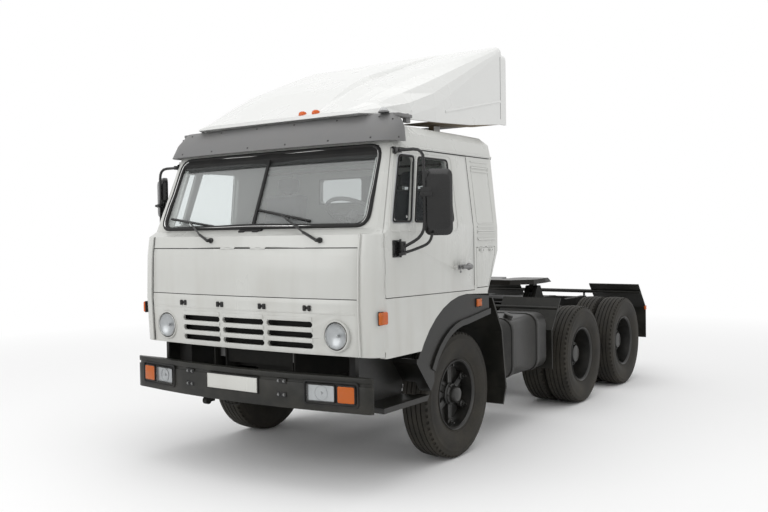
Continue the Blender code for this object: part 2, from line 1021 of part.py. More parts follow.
def with_grille(panel):
    """Cut the lamp holes and the rows of slots, with a raised bar over each."""
    holes = []
    for side in (-1, 1):
        room = lamp_radius + seat_gap * 2
        holes.append(turned([
            (0.0, -lamp_depth * 2), (room, -lamp_depth * 2), (room, lamp_depth * 2), (0.0, lamp_depth * 2)],
            "y", (side * lamp_x, lamp_front, lamp_z), lamp_steps))
    width = (2 * grille_half - grille_post * (grille_columns - 1)) / grille_columns
    pitch = (grille_top - grille_low) / grille_rows
    bars = []
    for column in range(grille_columns):
        start = -grille_half + column * (width + grille_post)
        for row in range(grille_rows):
            low = grille_low + row * pitch
            holes.append(prism(rounded([
                (start, low), (start + width, low),
                (start + width, low + pitch - grille_bar),
                (start, low + pitch - grille_bar)], (pitch - grille_bar) / 3, 1),
                "y", -side_reach, 0))
            ledge = shared(cab_skin(-rib_out, bite), box(
                (start, start + width), (-side_reach, 0),
                (low + pitch - grille_bar + bite / 2, low + pitch - bite / 2)))
            bars.append(ledge)
    panel = fused(panel, *bars)
    return cut(panel, *holes)


def make_sides():
    far = side_reach
    shoulder = axle_height + arch_radius
    arc = arch_line(arch_radius + seat_gap)
    outline = [(door_front - seam, skirt_bottom)]
    outline += [point for point in arc if point[1] > skirt_bottom]
    outline += [
        (arch_rear_y, cab_bottom), (far, cab_bottom),
        (far, gutter_z - seat_gap), (door_rear + seam, gutter_z - seat_gap),
        (door_rear + seam, door_low_rear + overrun), (door_front - seam, door_low_rear + overrun)]
    lower_left = skirt_start(arc)
    outline = [(door_front - seam + seat_gap, skirt_bottom), lower_left] + outline[1:]
    outline[-1] = (door_front - seam + seat_gap, outline[-1][1])
    zone = prism(outline, "x", corner_split_x + seat_gap, far)
    panel = shared(cab_skin(0.0, cab_wall), zone)
    panel = cut(panel, door_prism(seam, corner_split_x - overrun))
    sill = shared(cab_skin(cab_wall - bite, cab_wall + bite * 5), prism([
        (door_front, shoulder + bite), (far, shoulder + bite),
        (far, floor_top), (door_front, floor_top)], "x", corner_split_x + seat_gap, far))
    sill = cut(sill, door_prism(seam + bite))
    ribs = []
    for height in rib_heights:
        ribs.append(shared(cab_skin(-rib_out, bite), box(
            (corner_split_x, far), (rib_front, rib_rear), (height, height + rib_height))))
    locker_hole = prism(locker_outline(seam), "x", corner_split_x, far)
    panel = fused(cut(panel, locker_hole), sill, *ribs)
    panel = with_fixed(panel, locker_hinges())
    lid = shared(cab_skin(0.0, outer_panel), prism(
        locker_outline(0.0), "x", corner_split_x, far))
    lid = with_moving(lid, locker_hinges())
    for name, side in sides():
        node("cab_side_" + name, sided(panel, side), "pale_paint", tilt_home())
        home = (side * locker_axis_x(), 0, locker_top)
        node("locker_lid_" + name, sided(lid, side), "pale_paint", home)


def skirt_start(arc):
    for low, high in zip(arc, arc[1:]):
        if low[1] <= skirt_bottom < high[1]:
            share = (skirt_bottom - low[1]) / (high[1] - low[1])
            return (low[0] + (high[0] - low[0]) * share, skirt_bottom)
    return (arc[0][0], skirt_bottom)


def locker_outline(grow):
    return [
        (locker_front - grow, locker_low - grow),
        (locker_rear_low + grow, locker_low - grow),
        (locker_rear_top + grow, locker_top - outer_panel * 2),
        (locker_rear_top + grow, locker_top - seam / 2 + grow),
        (locker_front - grow, locker_top - seam / 2 + grow)]


def locker_axis_x():
    return cab_sections[0][1] - locker_hinge * hinge_sink_share


def locker_hinges():
    point = (locker_axis_x(), 0, locker_top)
    span = locker_rear_top - locker_front
    return [
        Hinge("y", point, locker_front + span * share, locker_hinge_length, locker_hinge)
        for share in locker_hinge_shares]


def make_doors():
    far = side_reach
    skin = cab_skin(0.0, cab_wall)
    panel = shared(skin, door_prism(0.0))
    through = [
        prism(rounded(quarter_outline, window_corner), "x", 0, far),
        prism(rounded(window_outline, window_corner), "x", 0, far)]
    panel = cut(panel, *through)
    rebate = shared(cab_solid(window_inset), prism(rounded(glass_outline(0.0), window_corner),
                                                   "x", 0, far))
    panel = cut(panel, rebate)
    pane = shared(cab_skin(window_inset + seat_gap, window_inset + glass_thickness),
                  prism(rounded(glass_outline(-seat_gap), window_corner), "x", 0, far))
    panel = with_moving(panel, door_hinges(1))
    grip_x = cab_sections[0][1]
    grip = bent_tube([
        (grip_x - bite, handle_y - handle_length, handle_z),
        (grip_x + handle_out - handle_height / 2, handle_y - handle_length, handle_z),
        (grip_x + handle_out - handle_height / 2, handle_y, handle_z),
        (grip_x - bite, handle_y, handle_z)], handle_height / 2, handle_out / 2, 8, 3)
    panel = fused(panel, grip)
    for name, side in sides():
        home = (side * door_axis_x(), door_axis_y(), door_hinge_low)
        node("door_" + name, sided(panel, side), "pale_paint", home)
        node("door_glass_" + name, sided(pane, side), "glass", home)
        node("mirror_" + name, sided(mirror_shape(name), side), "black_plastic", home)


def glass_outline(grow):
    """One outline round both side windows."""
    low = quarter_outline[0]
    top_front = quarter_outline[3]
    top_rear = window_outline[2]
    low_rear = window_outline[1]
    edge = glass_margin + grow
    return [
        (low[0] - edge, low[1] - edge), (low_rear[0] + edge, low_rear[1] - edge),
        (top_rear[0] + edge, top_rear[1] + edge), (top_front[0] - edge, top_rear[1] + edge)]


def mirror_shape(name):
    """Tapered housing turned outwards, clamped to a bent tube with two feet."""
    for row, low, top, width in mirror_sizes:
        if row == name:
            break
    rings = []
    for share, size in ((1.0, 1.0), (0.0, 1.0), (-1.0, mirror_back_share)):
        wide = width / 2 * size
        tall = (top - low) / 2 * size
        ring = rounded([(-wide, -tall), (wide, -tall), (wide, tall), (-wide, tall)], mirror_corner * size)
        rings.append([
            Vector((across, share * mirror_depth / 2, up)) for across, up in ring])
    housing = loft(rings)
    turn = Matrix.Rotation(math.radians(mirror_turn_deg), 4, "Z")
    place = Matrix.Translation(Vector((mirror_x, mirror_y, (low + top) / 2)))
    bmesh.ops.transform(housing, verts=housing.verts, matrix=place @ turn)
    clamp = box(
        (-width / 2 - clamp_width / 2, -width / 2 + clamp_width),
        (-mirror_depth / 2 - arm_radius * 2, 0), (clamp_z, clamp_z + clamp_height))
    place = Matrix.Translation(Vector((mirror_x, mirror_y, 0)))
    bmesh.ops.transform(clamp, verts=clamp.verts, matrix=place @ turn)
    wall_top = door_wall_x(arm_top_z - arm_foot_size / 3)
    wall_low = cab_sections[0][1]
    arms = bent_tube([
        (wall_top + arm_foot_size / 4, arm_mount_y, arm_top_z),
        (arm_x, arm_y, arm_top_z),
        (arm_x, arm_y, arm_low_z + arm_bend),
        (wall_low + arm_foot_size / 2, arm_foot_y, arm_low_z)], arm_radius, arm_bend)
    top_foot = box(
        (wall_top + seat_gap * 4, wall_top + arm_foot_size / 2),
        (arm_mount_y - arm_foot_size / 2, arm_mount_y + arm_foot_size / 2),
        (arm_top_z - arm_foot_size / 3, arm_top_z + arm_foot_size / 3))
    low_foot = box(
        (wall_low + seat_gap, wall_low + arm_foot_size),
        (arm_foot_y - arm_foot_size / 2, arm_foot_y + arm_foot_size / 2),
        (arm_foot_z - arm_foot_size, arm_foot_z + arm_foot_size))
    return fused(housing, clamp, arms, top_foot, low_foot)


def door_wall_x(height):
    low = cab_sections[4]
    high = cab_sections[5]
    share = (height - low[0]) / (high[0] - low[0])
    return low[1] + (high[1] - low[1]) * share


def make_arches():
    """Black arch over the front wheel with a raised lip, and the step below it."""
    outer = arch_line(arch_radius)
    inner = arch_line(arch_lip_radius)
    band = outer + [(arch_rear_y, arch_rear_top)]
    band += [(arch_rear_y, arch_rear_low)] + list(reversed(inner))
    sheet = prism(band, "x", arch_out_x - arch_sheet - lip_width, arch_out_x - lip_width / 2)
    lip_line = arch_line(arch_lip_radius + lip_depth)
    lip_band = lip_line + [(arch_rear_y, arch_rear_low + lip_depth)]
    lip_band += [(arch_rear_y, arch_rear_low - bite)]
    lip_band += list(reversed(arch_line(arch_lip_radius - bite)))
    lip = prism(lip_band, "x", arch_in_x, arch_out_x)
    start = inner[0]
    housing = prism([
        (step_front, step_bottom), (step_rear, step_bottom),
        (start[0] + bite, step_top), (start[0] + bite, start[1] + bite * 2),
        (outer[0][0], outer[0][1]), (step_front, skirt_bottom - seat_gap)], "x",
        step_in_x, arch_out_x - lip_width / 3)
    hollow = prism([
        (step_front - overrun, step_bottom + step_tread),
        (start[0] - step_wall, step_bottom + step_tread),
        (outer[0][0] - step_wall, outer[0][1] - step_wall),
        (outer[0][0] - step_wall, side_reach), (step_front - overrun, side_reach)], "x",
        step_in_x + step_wall, side_reach)
    housing = cut(housing, hollow)
    shape = fused(sheet, lip, housing)
    shape = cut(shape, tyre_sweep())
    for name, side in sides():
        node("arch_step_" + name, sided(shape, side), "black_plastic", tilt_home())


def tyre_sweep():
    """Room that the corner of the steered front wheel needs inside the lip."""
    reach = math.hypot(tyre_radius, tyre_width / 2 + front_wheel_x - kingpin_x) + overrun
    return rod((0, 0, axle_height), (arch_in_x, 0, axle_height), reach, tyre_steps)


def make_visor():
    far = side_reach
    rings = []
    hollow = []
    for height, half, front in visor_sections:
        rings.append(plan_ring(height, half, front, visor_bow, visor_rear + visor_corner,
                               visor_corner, 0.0))
    for height, half, front in visor_sections:
        hollow.append(plan_ring(height - visor_top_plate, half, front, visor_bow,
                                visor_rear + visor_corner, visor_corner, visor_wall))
    for point in hollow[0]:
        point.z -= overrun
    shape = cut(loft(rings), loft(hollow))
    shape = cut(shape, box((-far, far), (visor_rear, far), (0, far * 2)))
    shape = cut(shape, cab_solid(-seat_gap))
    node("sun_visor", shape, "grey_paint", tilt_home())


def fairing_ring(place, top, low, half, shoulder, ridge, inset):
    """Outline across the fairing: raised middle, round shoulders, open below."""
    wide = shoulder
    tall = min(shoulder, (top - low) * fairing_shoulder_share)
    right = [
        (0.0, top + ridge - inset),
        (fairing_ridge_x, top + ridge - inset),
        (fairing_ridge_x + fairing_ridge_slope, top - inset)]
    for step in range(fairing_steps + 1):
        angle = math.pi / 2 * step / fairing_steps
        right.append((
            half - wide + (wide - inset) * math.sin(angle),
            top - tall + (tall - inset) * math.cos(angle)))
    right.append((half - inset, low))
    ring = right + [(-x, z) for x, z in reversed(right[1:])]
    return [Vector((x, place, z)) for x, z in ring]


def fairing_half(place):
    for near, far in zip(fairing_sections, fairing_sections[1:]):
        if near[0] <= place <= far[0]:
            share = (place - near[0]) / (far[0] - near[0])
            return near[3] + (far[3] - near[3]) * share
    return fairing_sections[-1][3]


def make_fairing():
    outer = []
    inner = []
    for place, top, low, half, shoulder, ridge in fairing_sections:
        outer.append(fairing_ring(place, top, low, half, shoulder, ridge, 0.0))
        inner.append(fairing_ring(
            place, top, low - overrun, half, shoulder, ridge, fairing_wall))
    for point in inner[0]:
        point.y += fairing_wall
    for point in inner[-1]:
        point.y -= fairing_wall
    rear = fairing_sections[-1][0]
    collar = loft([
        fairing_ring(place, collar_top, collar_low, collar_half, collar_shoulder, 0.0, 0.0)
        for place in (rear - fairing_wall / 2, collar_rear)])
    mouth = loft([
        fairing_ring(place, collar_top, collar_low - overrun, collar_half, collar_shoulder,
                     0.0, fairing_wall)
        for place in (rear - fairing_wall * 2, collar_rear + overrun)])
    shape = cut(fused(cut(loft(outer), loft(inner)), collar), mouth)
    feet = []
    top_z = cab_sections[-1][0]
    level = fairing_sections[0][2] + overrun
    for place in fairing_foot_places:
        reach = fairing_half(place) - fairing_wall / 2
        for side in (-1, 1):
            feet.append(box(
                (side * fairing_foot_x - fairing_foot / 2, side * fairing_foot_x + fairing_foot / 2),
                (place - fairing_foot, place + fairing_foot), (top_z + seat_gap, level)))
            feet.append(box(
                (min(side * fairing_foot_x, side * reach), max(side * fairing_foot_x, side * reach)),
                (place - fairing_foot, place + fairing_foot), (level - fairing_foot / 2, level)))
    shape = fused(shape, *feet)
    node("roof_fairing", shape, "white_paint", tilt_home())


def make_cab_inside():
    far = side_reach
    room = cab_solid(cab_wall + bite * 5 + seat_gap)
    floor = shared(room, box((-far, far), (-far, far), (floor_top - floor_thickness, floor_top)))
    floor = shared(floor, box((-far, far), (door_front - seam, far), (0, far)))
    hump = box((-tunnel_half, tunnel_half), (tunnel_front, tunnel_rear), (cab_bottom, tunnel_top))
    hollow = box(
        (-tunnel_half + tunnel_wall, tunnel_half - tunnel_wall),
        (tunnel_front - overrun, tunnel_rear - tunnel_wall), (0, tunnel_top - tunnel_wall))
    arms = []
    for side in (-1, 1):
        middle = side * tilt_x
        arms.append(box(
            (middle - tilt_lug_width / 2, middle + tilt_lug_width / 2),
            (tilt_y - tilt_lug_depth / 2, tilt_y + tilt_lug_depth / 2),
            (tilt_z - tilt_lug_depth / 2, floor_top - bite)))
    pins = []
    for side in (-1, 1):
        middle = side * tilt_x
        pins.append(rod(
            (middle - tilt_lug_width, tilt_y, tilt_z), (middle + tilt_lug_width, tilt_y, tilt_z),
            tilt_pin_radius + pin_play, 16))
    shape = fused(floor, hump)
    shape = cut(shape, hollow)
    shape = cut(fused(shape, *arms), *pins)
    node("cab_floor", shape, "black_steel", tilt_home())

    room = cab_solid(firewall_inner + seat_gap)
    dash = shared(room, prism([
        (-far, dash_bottom), (dash_rear - dash_lip, dash_bottom), (dash_rear, dash_bottom + dash_lip),
        (dash_rear, dash_top - dash_lip), (dash_rear - dash_lip, dash_top), (-far, dash_top)],
        "x", -corner_split_x, corner_split_x))
    dash = cut(dash, box(
        (-tunnel_half - seat_gap, tunnel_half + seat_gap), (-far, far), (0, tunnel_top + seat_gap)))

    # Steering wheel on its column
    lean = math.radians(wheel_tilt_deg)
    up = Vector((0, math.sin(lean), math.cos(lean)))
    centre = Vector((column_x, wheel_centre[0], wheel_centre[1]))
    rim = turned([
        (wheel_rim_radius + wheel_rim_tube * math.cos(angle), wheel_rim_tube * math.sin(angle))
        for angle in (2 * math.pi * step / 6 for step in range(6))], "z", (0, 0, 0), 24)
    bar = box((-wheel_rim_radius, wheel_rim_radius), (-wheel_rim_tube, wheel_rim_tube),
              (-wheel_rim_tube / 2, wheel_rim_tube / 2))
    wheel = fused(rim, bar, rod((0, 0, -dash_lip), (0, 0, wheel_rim_tube), wheel_rim_tube * 3, 12))
    turn = Vector((0, 0, 1)).rotation_difference(up).to_matrix().to_4x4()
    bmesh.ops.transform(wheel, verts=wheel.verts, matrix=Matrix.Translation(centre) @ turn)
    column = rod(centre - up * dash_lip / 2, centre - up * column_length(lean), wheel_rim_tube * 1.5, 10)
    node("dashboard", fused(dash, wheel, column), "trim", tilt_home())

    # Seats and bunk
    seat = prism([
        (seat_front, floor_top + seat_gap), (seat_rear, floor_top + seat_gap),
        (seat_rear, floor_top + seat_base), (seat_rear + seat_lean, seat_back_top),
        (seat_rear + seat_lean - seat_back, seat_back_top),
        (seat_rear - seat_back, floor_top + seat_base + seat_cushion),
        (seat_front, floor_top + seat_base + seat_cushion)], "x",
        seat_x - seat_half, seat_x + seat_half)
    for name, side in sides():
        node("seat_" + name, sided(seat, side), "trim", tilt_home())
    room = cab_solid(cab_wall + glass_thickness + seat_gap)
    bunk = shared(room, fused(
        box((-far, far), (bunk_front, far), (bunk_top - bunk_thickness, bunk_top)),
        box((-far, far), (bunk_front, bunk_front + bunk_board),
            (floor_top + seat_gap, bunk_top - bite))))
    bunk = shared(bunk, box((-bunk_half, bunk_half), (-far, far), (0, far)))
    bunk = cut(bunk, box(
        (-tunnel_half - seat_gap, tunnel_half + seat_gap), (-far, far), (0, tunnel_top + seat_gap)))
    node("bunk", bunk, "trim", tilt_home())


def column_length(lean):
    return (wheel_centre[1] - dash_bottom) / math.cos(lean)


def make_headlamps():
    profile = [
        (0.0, 0.0), (lamp_radius * bezel_share * 0.7, 0.0), (lamp_radius * bezel_share, lens_dome),
        (lamp_radius * bezel_share, lens_dome / 2), (lamp_radius, lens_dome / 2),
        (lamp_radius, lamp_depth), (0.0, lamp_depth)]
    shape = turned(profile, "y", (lamp_x, lamp_front, lamp_z), lamp_steps)
    for name, side in sides():
        node("headlamp_" + name, sided(shape, side), "lamp", tilt_home())


# Chassis


def make_frame():
    rails = []
    rail = box((rail_x - rail_flange, rail_x), (frame_front, frame_rear), (rail_bottom, rail_top))
    hollow = box(
        (0, rail_x - rail_wall), (frame_front - overrun, frame_rear + overrun),
        (rail_bottom + rail_wall, rail_top - rail_wall))
    rail = cut(rail, hollow)
    rails = both(rail)
    crosses = []
    for place in cross_places:
        crosses.append(box(
            (-rail_x + rail_wall / 2, rail_x - rail_wall / 2),
            (place - cross_depth / 2, place + cross_depth / 2),
            (rail_top - rail_wall - cross_height, rail_top - rail_wall / 2)))
    hangers = []
    for place in (-spring_half, spring_half):
        hangers += both(box(
            (spring_x - spring_width / 2, spring_x + spring_width / 2),
            (place - hanger_length / 2, place + hanger_length / 2),
            (spring_end_z() + spring_eye + seat_gap, rail_bottom + rail_wall / 2)))
    ears = []
    for side in (-1, 1):
        middle = side * tilt_x
        for low in (middle - tilt_lug_width / 2 - seat_gap - tilt_ear,
                    middle + tilt_lug_width / 2 + seat_gap):
            ears.append(box(
                (low, low + tilt_ear),
                (tilt_y - tilt_lug_depth / 2, tilt_y + tilt_lug_depth / 2),
                (rail_bottom + bite, tilt_z + tilt_lug_depth / 2)))
        ears.append(rod(
            (middle - tilt_lug_width / 2 - tilt_ear, tilt_y, tilt_z),
            (middle + tilt_lug_width / 2 + tilt_ear, tilt_y, tilt_z), tilt_pin_radius, 16))
    pocket = []
    for side in (-1, 1):
        middle = side * tilt_x
        pocket.append(box(
            (middle - tilt_lug_width / 2 - seat_gap, middle + tilt_lug_width / 2 + seat_gap),
            (tilt_y - tilt_lug_depth * 2, tilt_y + tilt_lug_depth),
            (tilt_z - tilt_lug_depth * 1.3, rail_top + overrun)))
    shape = fused(rails[0], rails[1], *crosses, *hangers)
    shape = cut(shape, *pocket)
    shape = fused(shape, *ears)
    lamps = []
    for side in (-1, 1):
        lamps.append(box(
            (side * (rail_x + guard_outer_x) / 2 - tail_lamp_half,
             side * (rail_x + guard_outer_x) / 2 + tail_lamp_half),
            (frame_rear - tail_lamp_depth, frame_rear),
            (rail_bottom, rail_bottom + tail_lamp_height)))
    bar = box(
        (-(rail_x + guard_outer_x) / 2, (rail_x + guard_outer_x) / 2),
        (frame_rear - tail_lamp_depth * 0.8, frame_rear - tail_lamp_depth * 0.3),
        (rail_bottom + tail_lamp_height * 0.3, rail_bottom + tail_lamp_height * 0.7))
    shape = fused(shape, bar, *lamps)
    node("frame", shape, "black_steel")


def spring_end_z():
    return spring_base + spring_rise


def leaf_outline(half, base, rise, pack, tip, steps=6):
    """Side outline of a leaf pack whose ends lie higher (or lower) by rise."""
    low = []
    high = []
    for step in range(steps + 1):
        share = 2 * step / steps - 1
        place = half * share
        line = base + rise * share * share
        thick = tip + (pack - tip) * (1 - abs(share))
        high.append((place, line + tip / 2))
        low.append((place, line + tip / 2 - thick))
    return low + list(reversed(high))


def make_front_axle():
    low = axle_height - beam_drop
    beam = prism([
        (-beam_half, axle_height - beam_height / 2), (-beam_drop_x, low - beam_height / 2),
        (beam_drop_x, low - beam_height / 2), (beam_half, axle_height - beam_height / 2),
        (beam_half, axle_height + beam_height / 2), (beam_drop_x, low + beam_height / 2),
        (-beam_drop_x, low + beam_height / 2), (-beam_half, axle_height + beam_height / 2)],
        "y", -beam_depth / 2, beam_depth / 2)
    eye = both(rod(
        (kingpin_x, 0, axle_height - beam_height / 2), (kingpin_x, 0, axle_height + beam_height / 2),
        knuckle_width / 2, 16))
    link = both(box((beam_half - bite, kingpin_x), (-beam_depth / 2, beam_depth / 2),
                    (axle_height - beam_height / 2, axle_height + beam_height / 2)))
    parts = eye + link
    pins = both(rod(
        (kingpin_x, 0, axle_height - knuckle_height / 2), (kingpin_x, 0, axle_height + knuckle_height / 2),
        kingpin_radius, 12))
    for side in (-1, 1):
        middle = side * spring_x
        parts.append(prism(
            leaf_outline(spring_half, spring_base, spring_rise, spring_pack, spring_leaf), "x",
            middle - spring_width / 2, middle + spring_width / 2))
        parts.append(box(
            (middle - spring_width / 2 - bite, middle + spring_width / 2 + bite),
            (-beam_depth, beam_depth), (low, spring_base + spring_leaf * 2)))
        for place in (-spring_half, spring_half):
            parts.append(rod(
                (middle - spring_width / 2, place, spring_end_z()),
                (middle + spring_width / 2, place, spring_end_z()), spring_eye, 8))
    node("front_axle", fused(beam, *parts, *pins), "black_steel")


def make_knuckles():
    half = knuckle_height / 2
    clear = beam_height / 2 + seat_gap * 4
    ears = []
    for low, high in ((-half, -clear), (clear, half)):
        ears.append(rod(
            (kingpin_x, 0, axle_height + low), (kingpin_x, 0, axle_height + high),
            knuckle_width / 2, 16))
        ears.append(box(
            (kingpin_x, back_plate_x), (-knuckle_width / 2, knuckle_width / 2),
            (axle_height + low, axle_height + high)))
    plate = turned([
        (0.0, back_plate_x - back_plate_thickness), (back_plate_radius, back_plate_x - back_plate_thickness),
        (back_plate_radius, back_plate_x), (0.0, back_plate_x)], "x", (0, 0, axle_height), 20)
    spindle = rod((back_plate_x - bite, 0, axle_height), (spindle_end_x, 0, axle_height), spindle_radius, 16)
    arm_z = axle_height - steer_arm_drop
    arm = box(
        (kingpin_x - steer_arm_width / 2, kingpin_x + steer_arm_width / 2), (0, steer_arm_length),
        (arm_z - steer_arm_thickness / 2, arm_z + steer_arm_thickness / 2))
    shape = fused(ears[0], *ears[1:], plate, spindle, arm)
    hole = rod((kingpin_x, 0, 0), (kingpin_x, 0, axle_height * 2), kingpin_radius + pin_play, 16)
    ball = rod(
        (kingpin_x, steer_arm_length, axle_height - track_rod_drop + track_rod_radius + seat_gap),
        (kingpin_x, steer_arm_length, arm_z), ball_radius, 12)
    end = rod(
        (kingpin_x, steer_arm_length, arm_z - steer_arm_thickness / 2),
        (kingpin_x, steer_arm_length, arm_z + steer_arm_thickness / 2), steer_arm_width / 2, 14)
    shape = fused(cut(shape, hole), ball, end)
    for name, side in sides():
        node("steering_knuckle_" + name, sided(shape, side), "black_steel",
             (side * kingpin_x, 0, axle_height))
    rod_z = axle_height - track_rod_drop
    track = rod((-kingpin_x, steer_arm_length, rod_z), (kingpin_x, steer_arm_length, rod_z),
                track_rod_radius, 12)
    node("track_rod", track, "black_steel", (kingpin_x, steer_arm_length, rod_z))


def tyre_profile(middle):
    tread = tyre_radius - bead_radius
    outer = []
    for up_share, width_share in tyre_section_shares:
        outer.append((bead_radius + tread * up_share, tyre_width / 2 * width_share))
    right = [(radius, middle + along) for radius, along in outer]
    left = [(radius, middle - along) for radius, along in reversed(outer)]
    return right + left


def make_front_wheels():
    tyre = turned(tyre_profile(front_wheel_x), "x", (0, 0, axle_height), tyre_steps)
    seat = bead_radius - seat_gap * 2
    bead = tyre_width / 2 * tyre_section_shares[0][1]
    rim = turned([
        (seat, front_wheel_x - bead), (seat, front_wheel_x + bead),
        (seat - rim_thickness / 2, front_wheel_x + bead + rim_thickness / 2),
        (seat - rim_thickness, front_wheel_x + bead),
        (seat - rim_thickness, front_wheel_x - bead)], "x", (0, 0, axle_height), tyre_steps)
    hub = turned([
        (spindle_radius + pin_play, hub_inner_x), (hub_radius, hub_inner_x),
        (drum_radius, drum_inner_x), (drum_radius, drum_outer_x), (hub_radius, drum_outer_x),
        (hub_radius, spider_x + spider_thickness), (hub_cap_radius, spider_x + spider_thickness),
        (hub_cap_radius, hub_cap_x - rim_thickness), (hub_cap_radius * 0.6, hub_cap_x), (0.0, hub_cap_x),
        (0.0, spindle_end_x + pin_play), (spindle_radius + pin_play, spindle_end_x + pin_play)],
        "x", (0, 0, axle_height), 16)
    parts = []
    reach = seat - rim_thickness / 2
    for spoke in range(spoke_count):
        turn = Matrix.Rotation(2 * math.pi * spoke / spoke_count, 4, "X")
        place = Matrix.Translation((0, 0, axle_height)) @ turn
        arm = box(
            (spider_x - spider_thickness / 2, spider_x + spider_thickness / 2),
            (-spoke_width / 2, spoke_width / 2), (hub_radius - bite, reach))
        lug = rod(
            (spider_x, 0, reach * lug_circle_share),
            (spider_x + spider_thickness / 2 + lug_length, 0, reach * lug_circle_share),
            lug_radius, 6)
        for piece in (arm, lug):
            bmesh.ops.transform(piece, verts=piece.verts, matrix=place)
            parts.append(piece)
    wheel = fused(rim, hub, *parts)
    for name, side in sides():
        home = (side * front_wheel_x, 0, axle_height)
        node("tyre_front_" + name, sided(tyre, side), "rubber", home)
        node("hub_front_" + name, sided(wheel, side), "black_steel", home)


def make_twin_wheels():
    barrel = bead_radius - rim_thickness / 2
    outer = tyre_profile(twin_outer_x)
    inner = tyre_profile(twin_inner_x)
    count = len(tyre_section_shares)
    right_edge = outer[0][1]
    left_edge = inner[-1][1]
    profile = [(barrel, right_edge)] + outer[:count] + outer[count:]
    profile += inner[:count] + inner[count:] + [(barrel, left_edge)]
    tyres = turned(profile, "x", (0, 0, axle_height), tyre_steps)
    seat = barrel + bite / 2
    bore = spindle_rear_radius + pin_play
    wheel = turned([
        (seat, left_edge), (seat, right_edge), (seat - rim_thickness / 2, right_edge + rim_thickness / 2),
        (seat - rim_thickness, right_edge), (twin_hub_radius * 1.25, twin_disc_x + twin_disc_thickness),
        (twin_hub_radius, twin_disc_x + twin_disc_thickness), (twin_hub_radius * 0.85, twin_hub_x),
        (twin_hub_cap_radius, twin_hub_cap_x), (0.0, twin_hub_cap_x),
        (0.0, spindle_rear_end + pin_play), (bore, spindle_rear_end + pin_play),
        (bore, twin_hub_inner_x), (drum_wide_radius, twin_hub_inner_x),
        (drum_wide_radius, twin_disc_x), (seat - rim_thickness, twin_disc_x),
        (seat - rim_thickness, left_edge)], "x", (0, 0, axle_height), tyre_steps)
    shape = fused(tyres, wheel)
    for place, row in ((mid_axle_y, "mid"), (rear_axle_y, "rear")):
        for name, side in sides():
            home = (side * twin_disc_x, place, axle_height)
            twin = moved(sided(shape, side), (0, place, 0))
            node("twin_wheel_" + row + "_" + name, twin, "rubber", home)


def make_drive_axles():
    parts = []
    for place in (mid_axle_y, rear_axle_y):
        parts.append(rod((-axle_tube_end, place, axle_height), (axle_tube_end, place, axle_height),
                         axle_tube_radius, 10))
        for side in (-1, 1):
            parts.append(rod(
                (side * (axle_tube_end - bite), place, axle_height),
                (side * spindle_rear_end, place, axle_height), spindle_rear_radius, 10))
            parts.append(box(
                (side * bogie_spring_x - bogie_spring_width / 2, side * bogie_spring_x + bogie_spring_width / 2),
                (place - spring_pad_half, place + spring_pad_half),
                (axle_height, axle_height + axle_tube_radius)))
        parts.append(turned([
            (0.0, -banjo_half), (banjo_radius * 0.55, -banjo_half), (banjo_radius, -banjo_half * 0.4),
            (banjo_radius, banjo_half * 0.4), (banjo_radius * 0.55, banjo_half), (0.0, banjo_half)],
            "y", (0, place, axle_height), 12))
        parts.append(rod(
            (0, place - banjo_half * 0.9, axle_height + axle_tube_radius * 1.2),
            (0, place - banjo_half * 2.2, axle_height + axle_tube_radius * 1.2), shaft_flange_radius, 10))
    shaft_z = axle_height + axle_tube_radius * 1.2
    parts.append(rod(
        (0, mid_axle_y, shaft_z), (0, rear_axle_y, shaft_z), shaft_radius, 8))
    parts.append(rod(
        (0, mid_axle_y - banjo_half * 2, shaft_z), (0, shaft_front_y - overrun, shaft_front_z), shaft_radius, 8))
    shape = cut(fused(parts[0], *parts[1:]), box(
        (-side_reach, side_reach), (-side_reach, gearbox_rear + seat_gap), (0, side_reach)))
    node("drive_axles", shape, "black_steel")

    # Leaf packs on a trunnion between the two axles
    half = bogie_spread / 2
    base = axle_height + axle_tube_radius + seat_gap + bogie_leaf / 2 + bogie_spring_drop
    springs = []
    for side in (-1, 1):
        middle = side * bogie_spring_x
        flipped = [(place, 2 * base - up) for place, up in
                   leaf_outline(half, base, bogie_spring_drop, bogie_pack, bogie_leaf)]
        springs.append(moved(prism(
            flipped, "x", middle - bogie_spring_width / 2, middle + bogie_spring_width / 2),
            (0, bogie_y, 0)))
        springs.append(box(
            (middle - bogie_spring_width * 0.6, middle + bogie_spring_width * 0.6),
            (bogie_y - saddle_length / 2, bogie_y + saddle_length / 2),
            (trunnion_z - trunnion_radius, base + bogie_pack * 0.6)))
    tube = rod((-bogie_spring_x - trunnion_radius, bogie_y, trunnion_z),
               (bogie_spring_x + trunnion_radius, bogie_y, trunnion_z), trunnion_radius, 14)
    carriers = both(box(
        (rail_x - rail_flange, rail_x - rail_wall), (bogie_y - saddle_length, bogie_y + saddle_length),
        (trunnion_z - trunnion_radius, rail_bottom - seat_gap)))
    shape = fused(tube, *springs, *carriers)
    node("bogie_springs", shape, "black_steel")


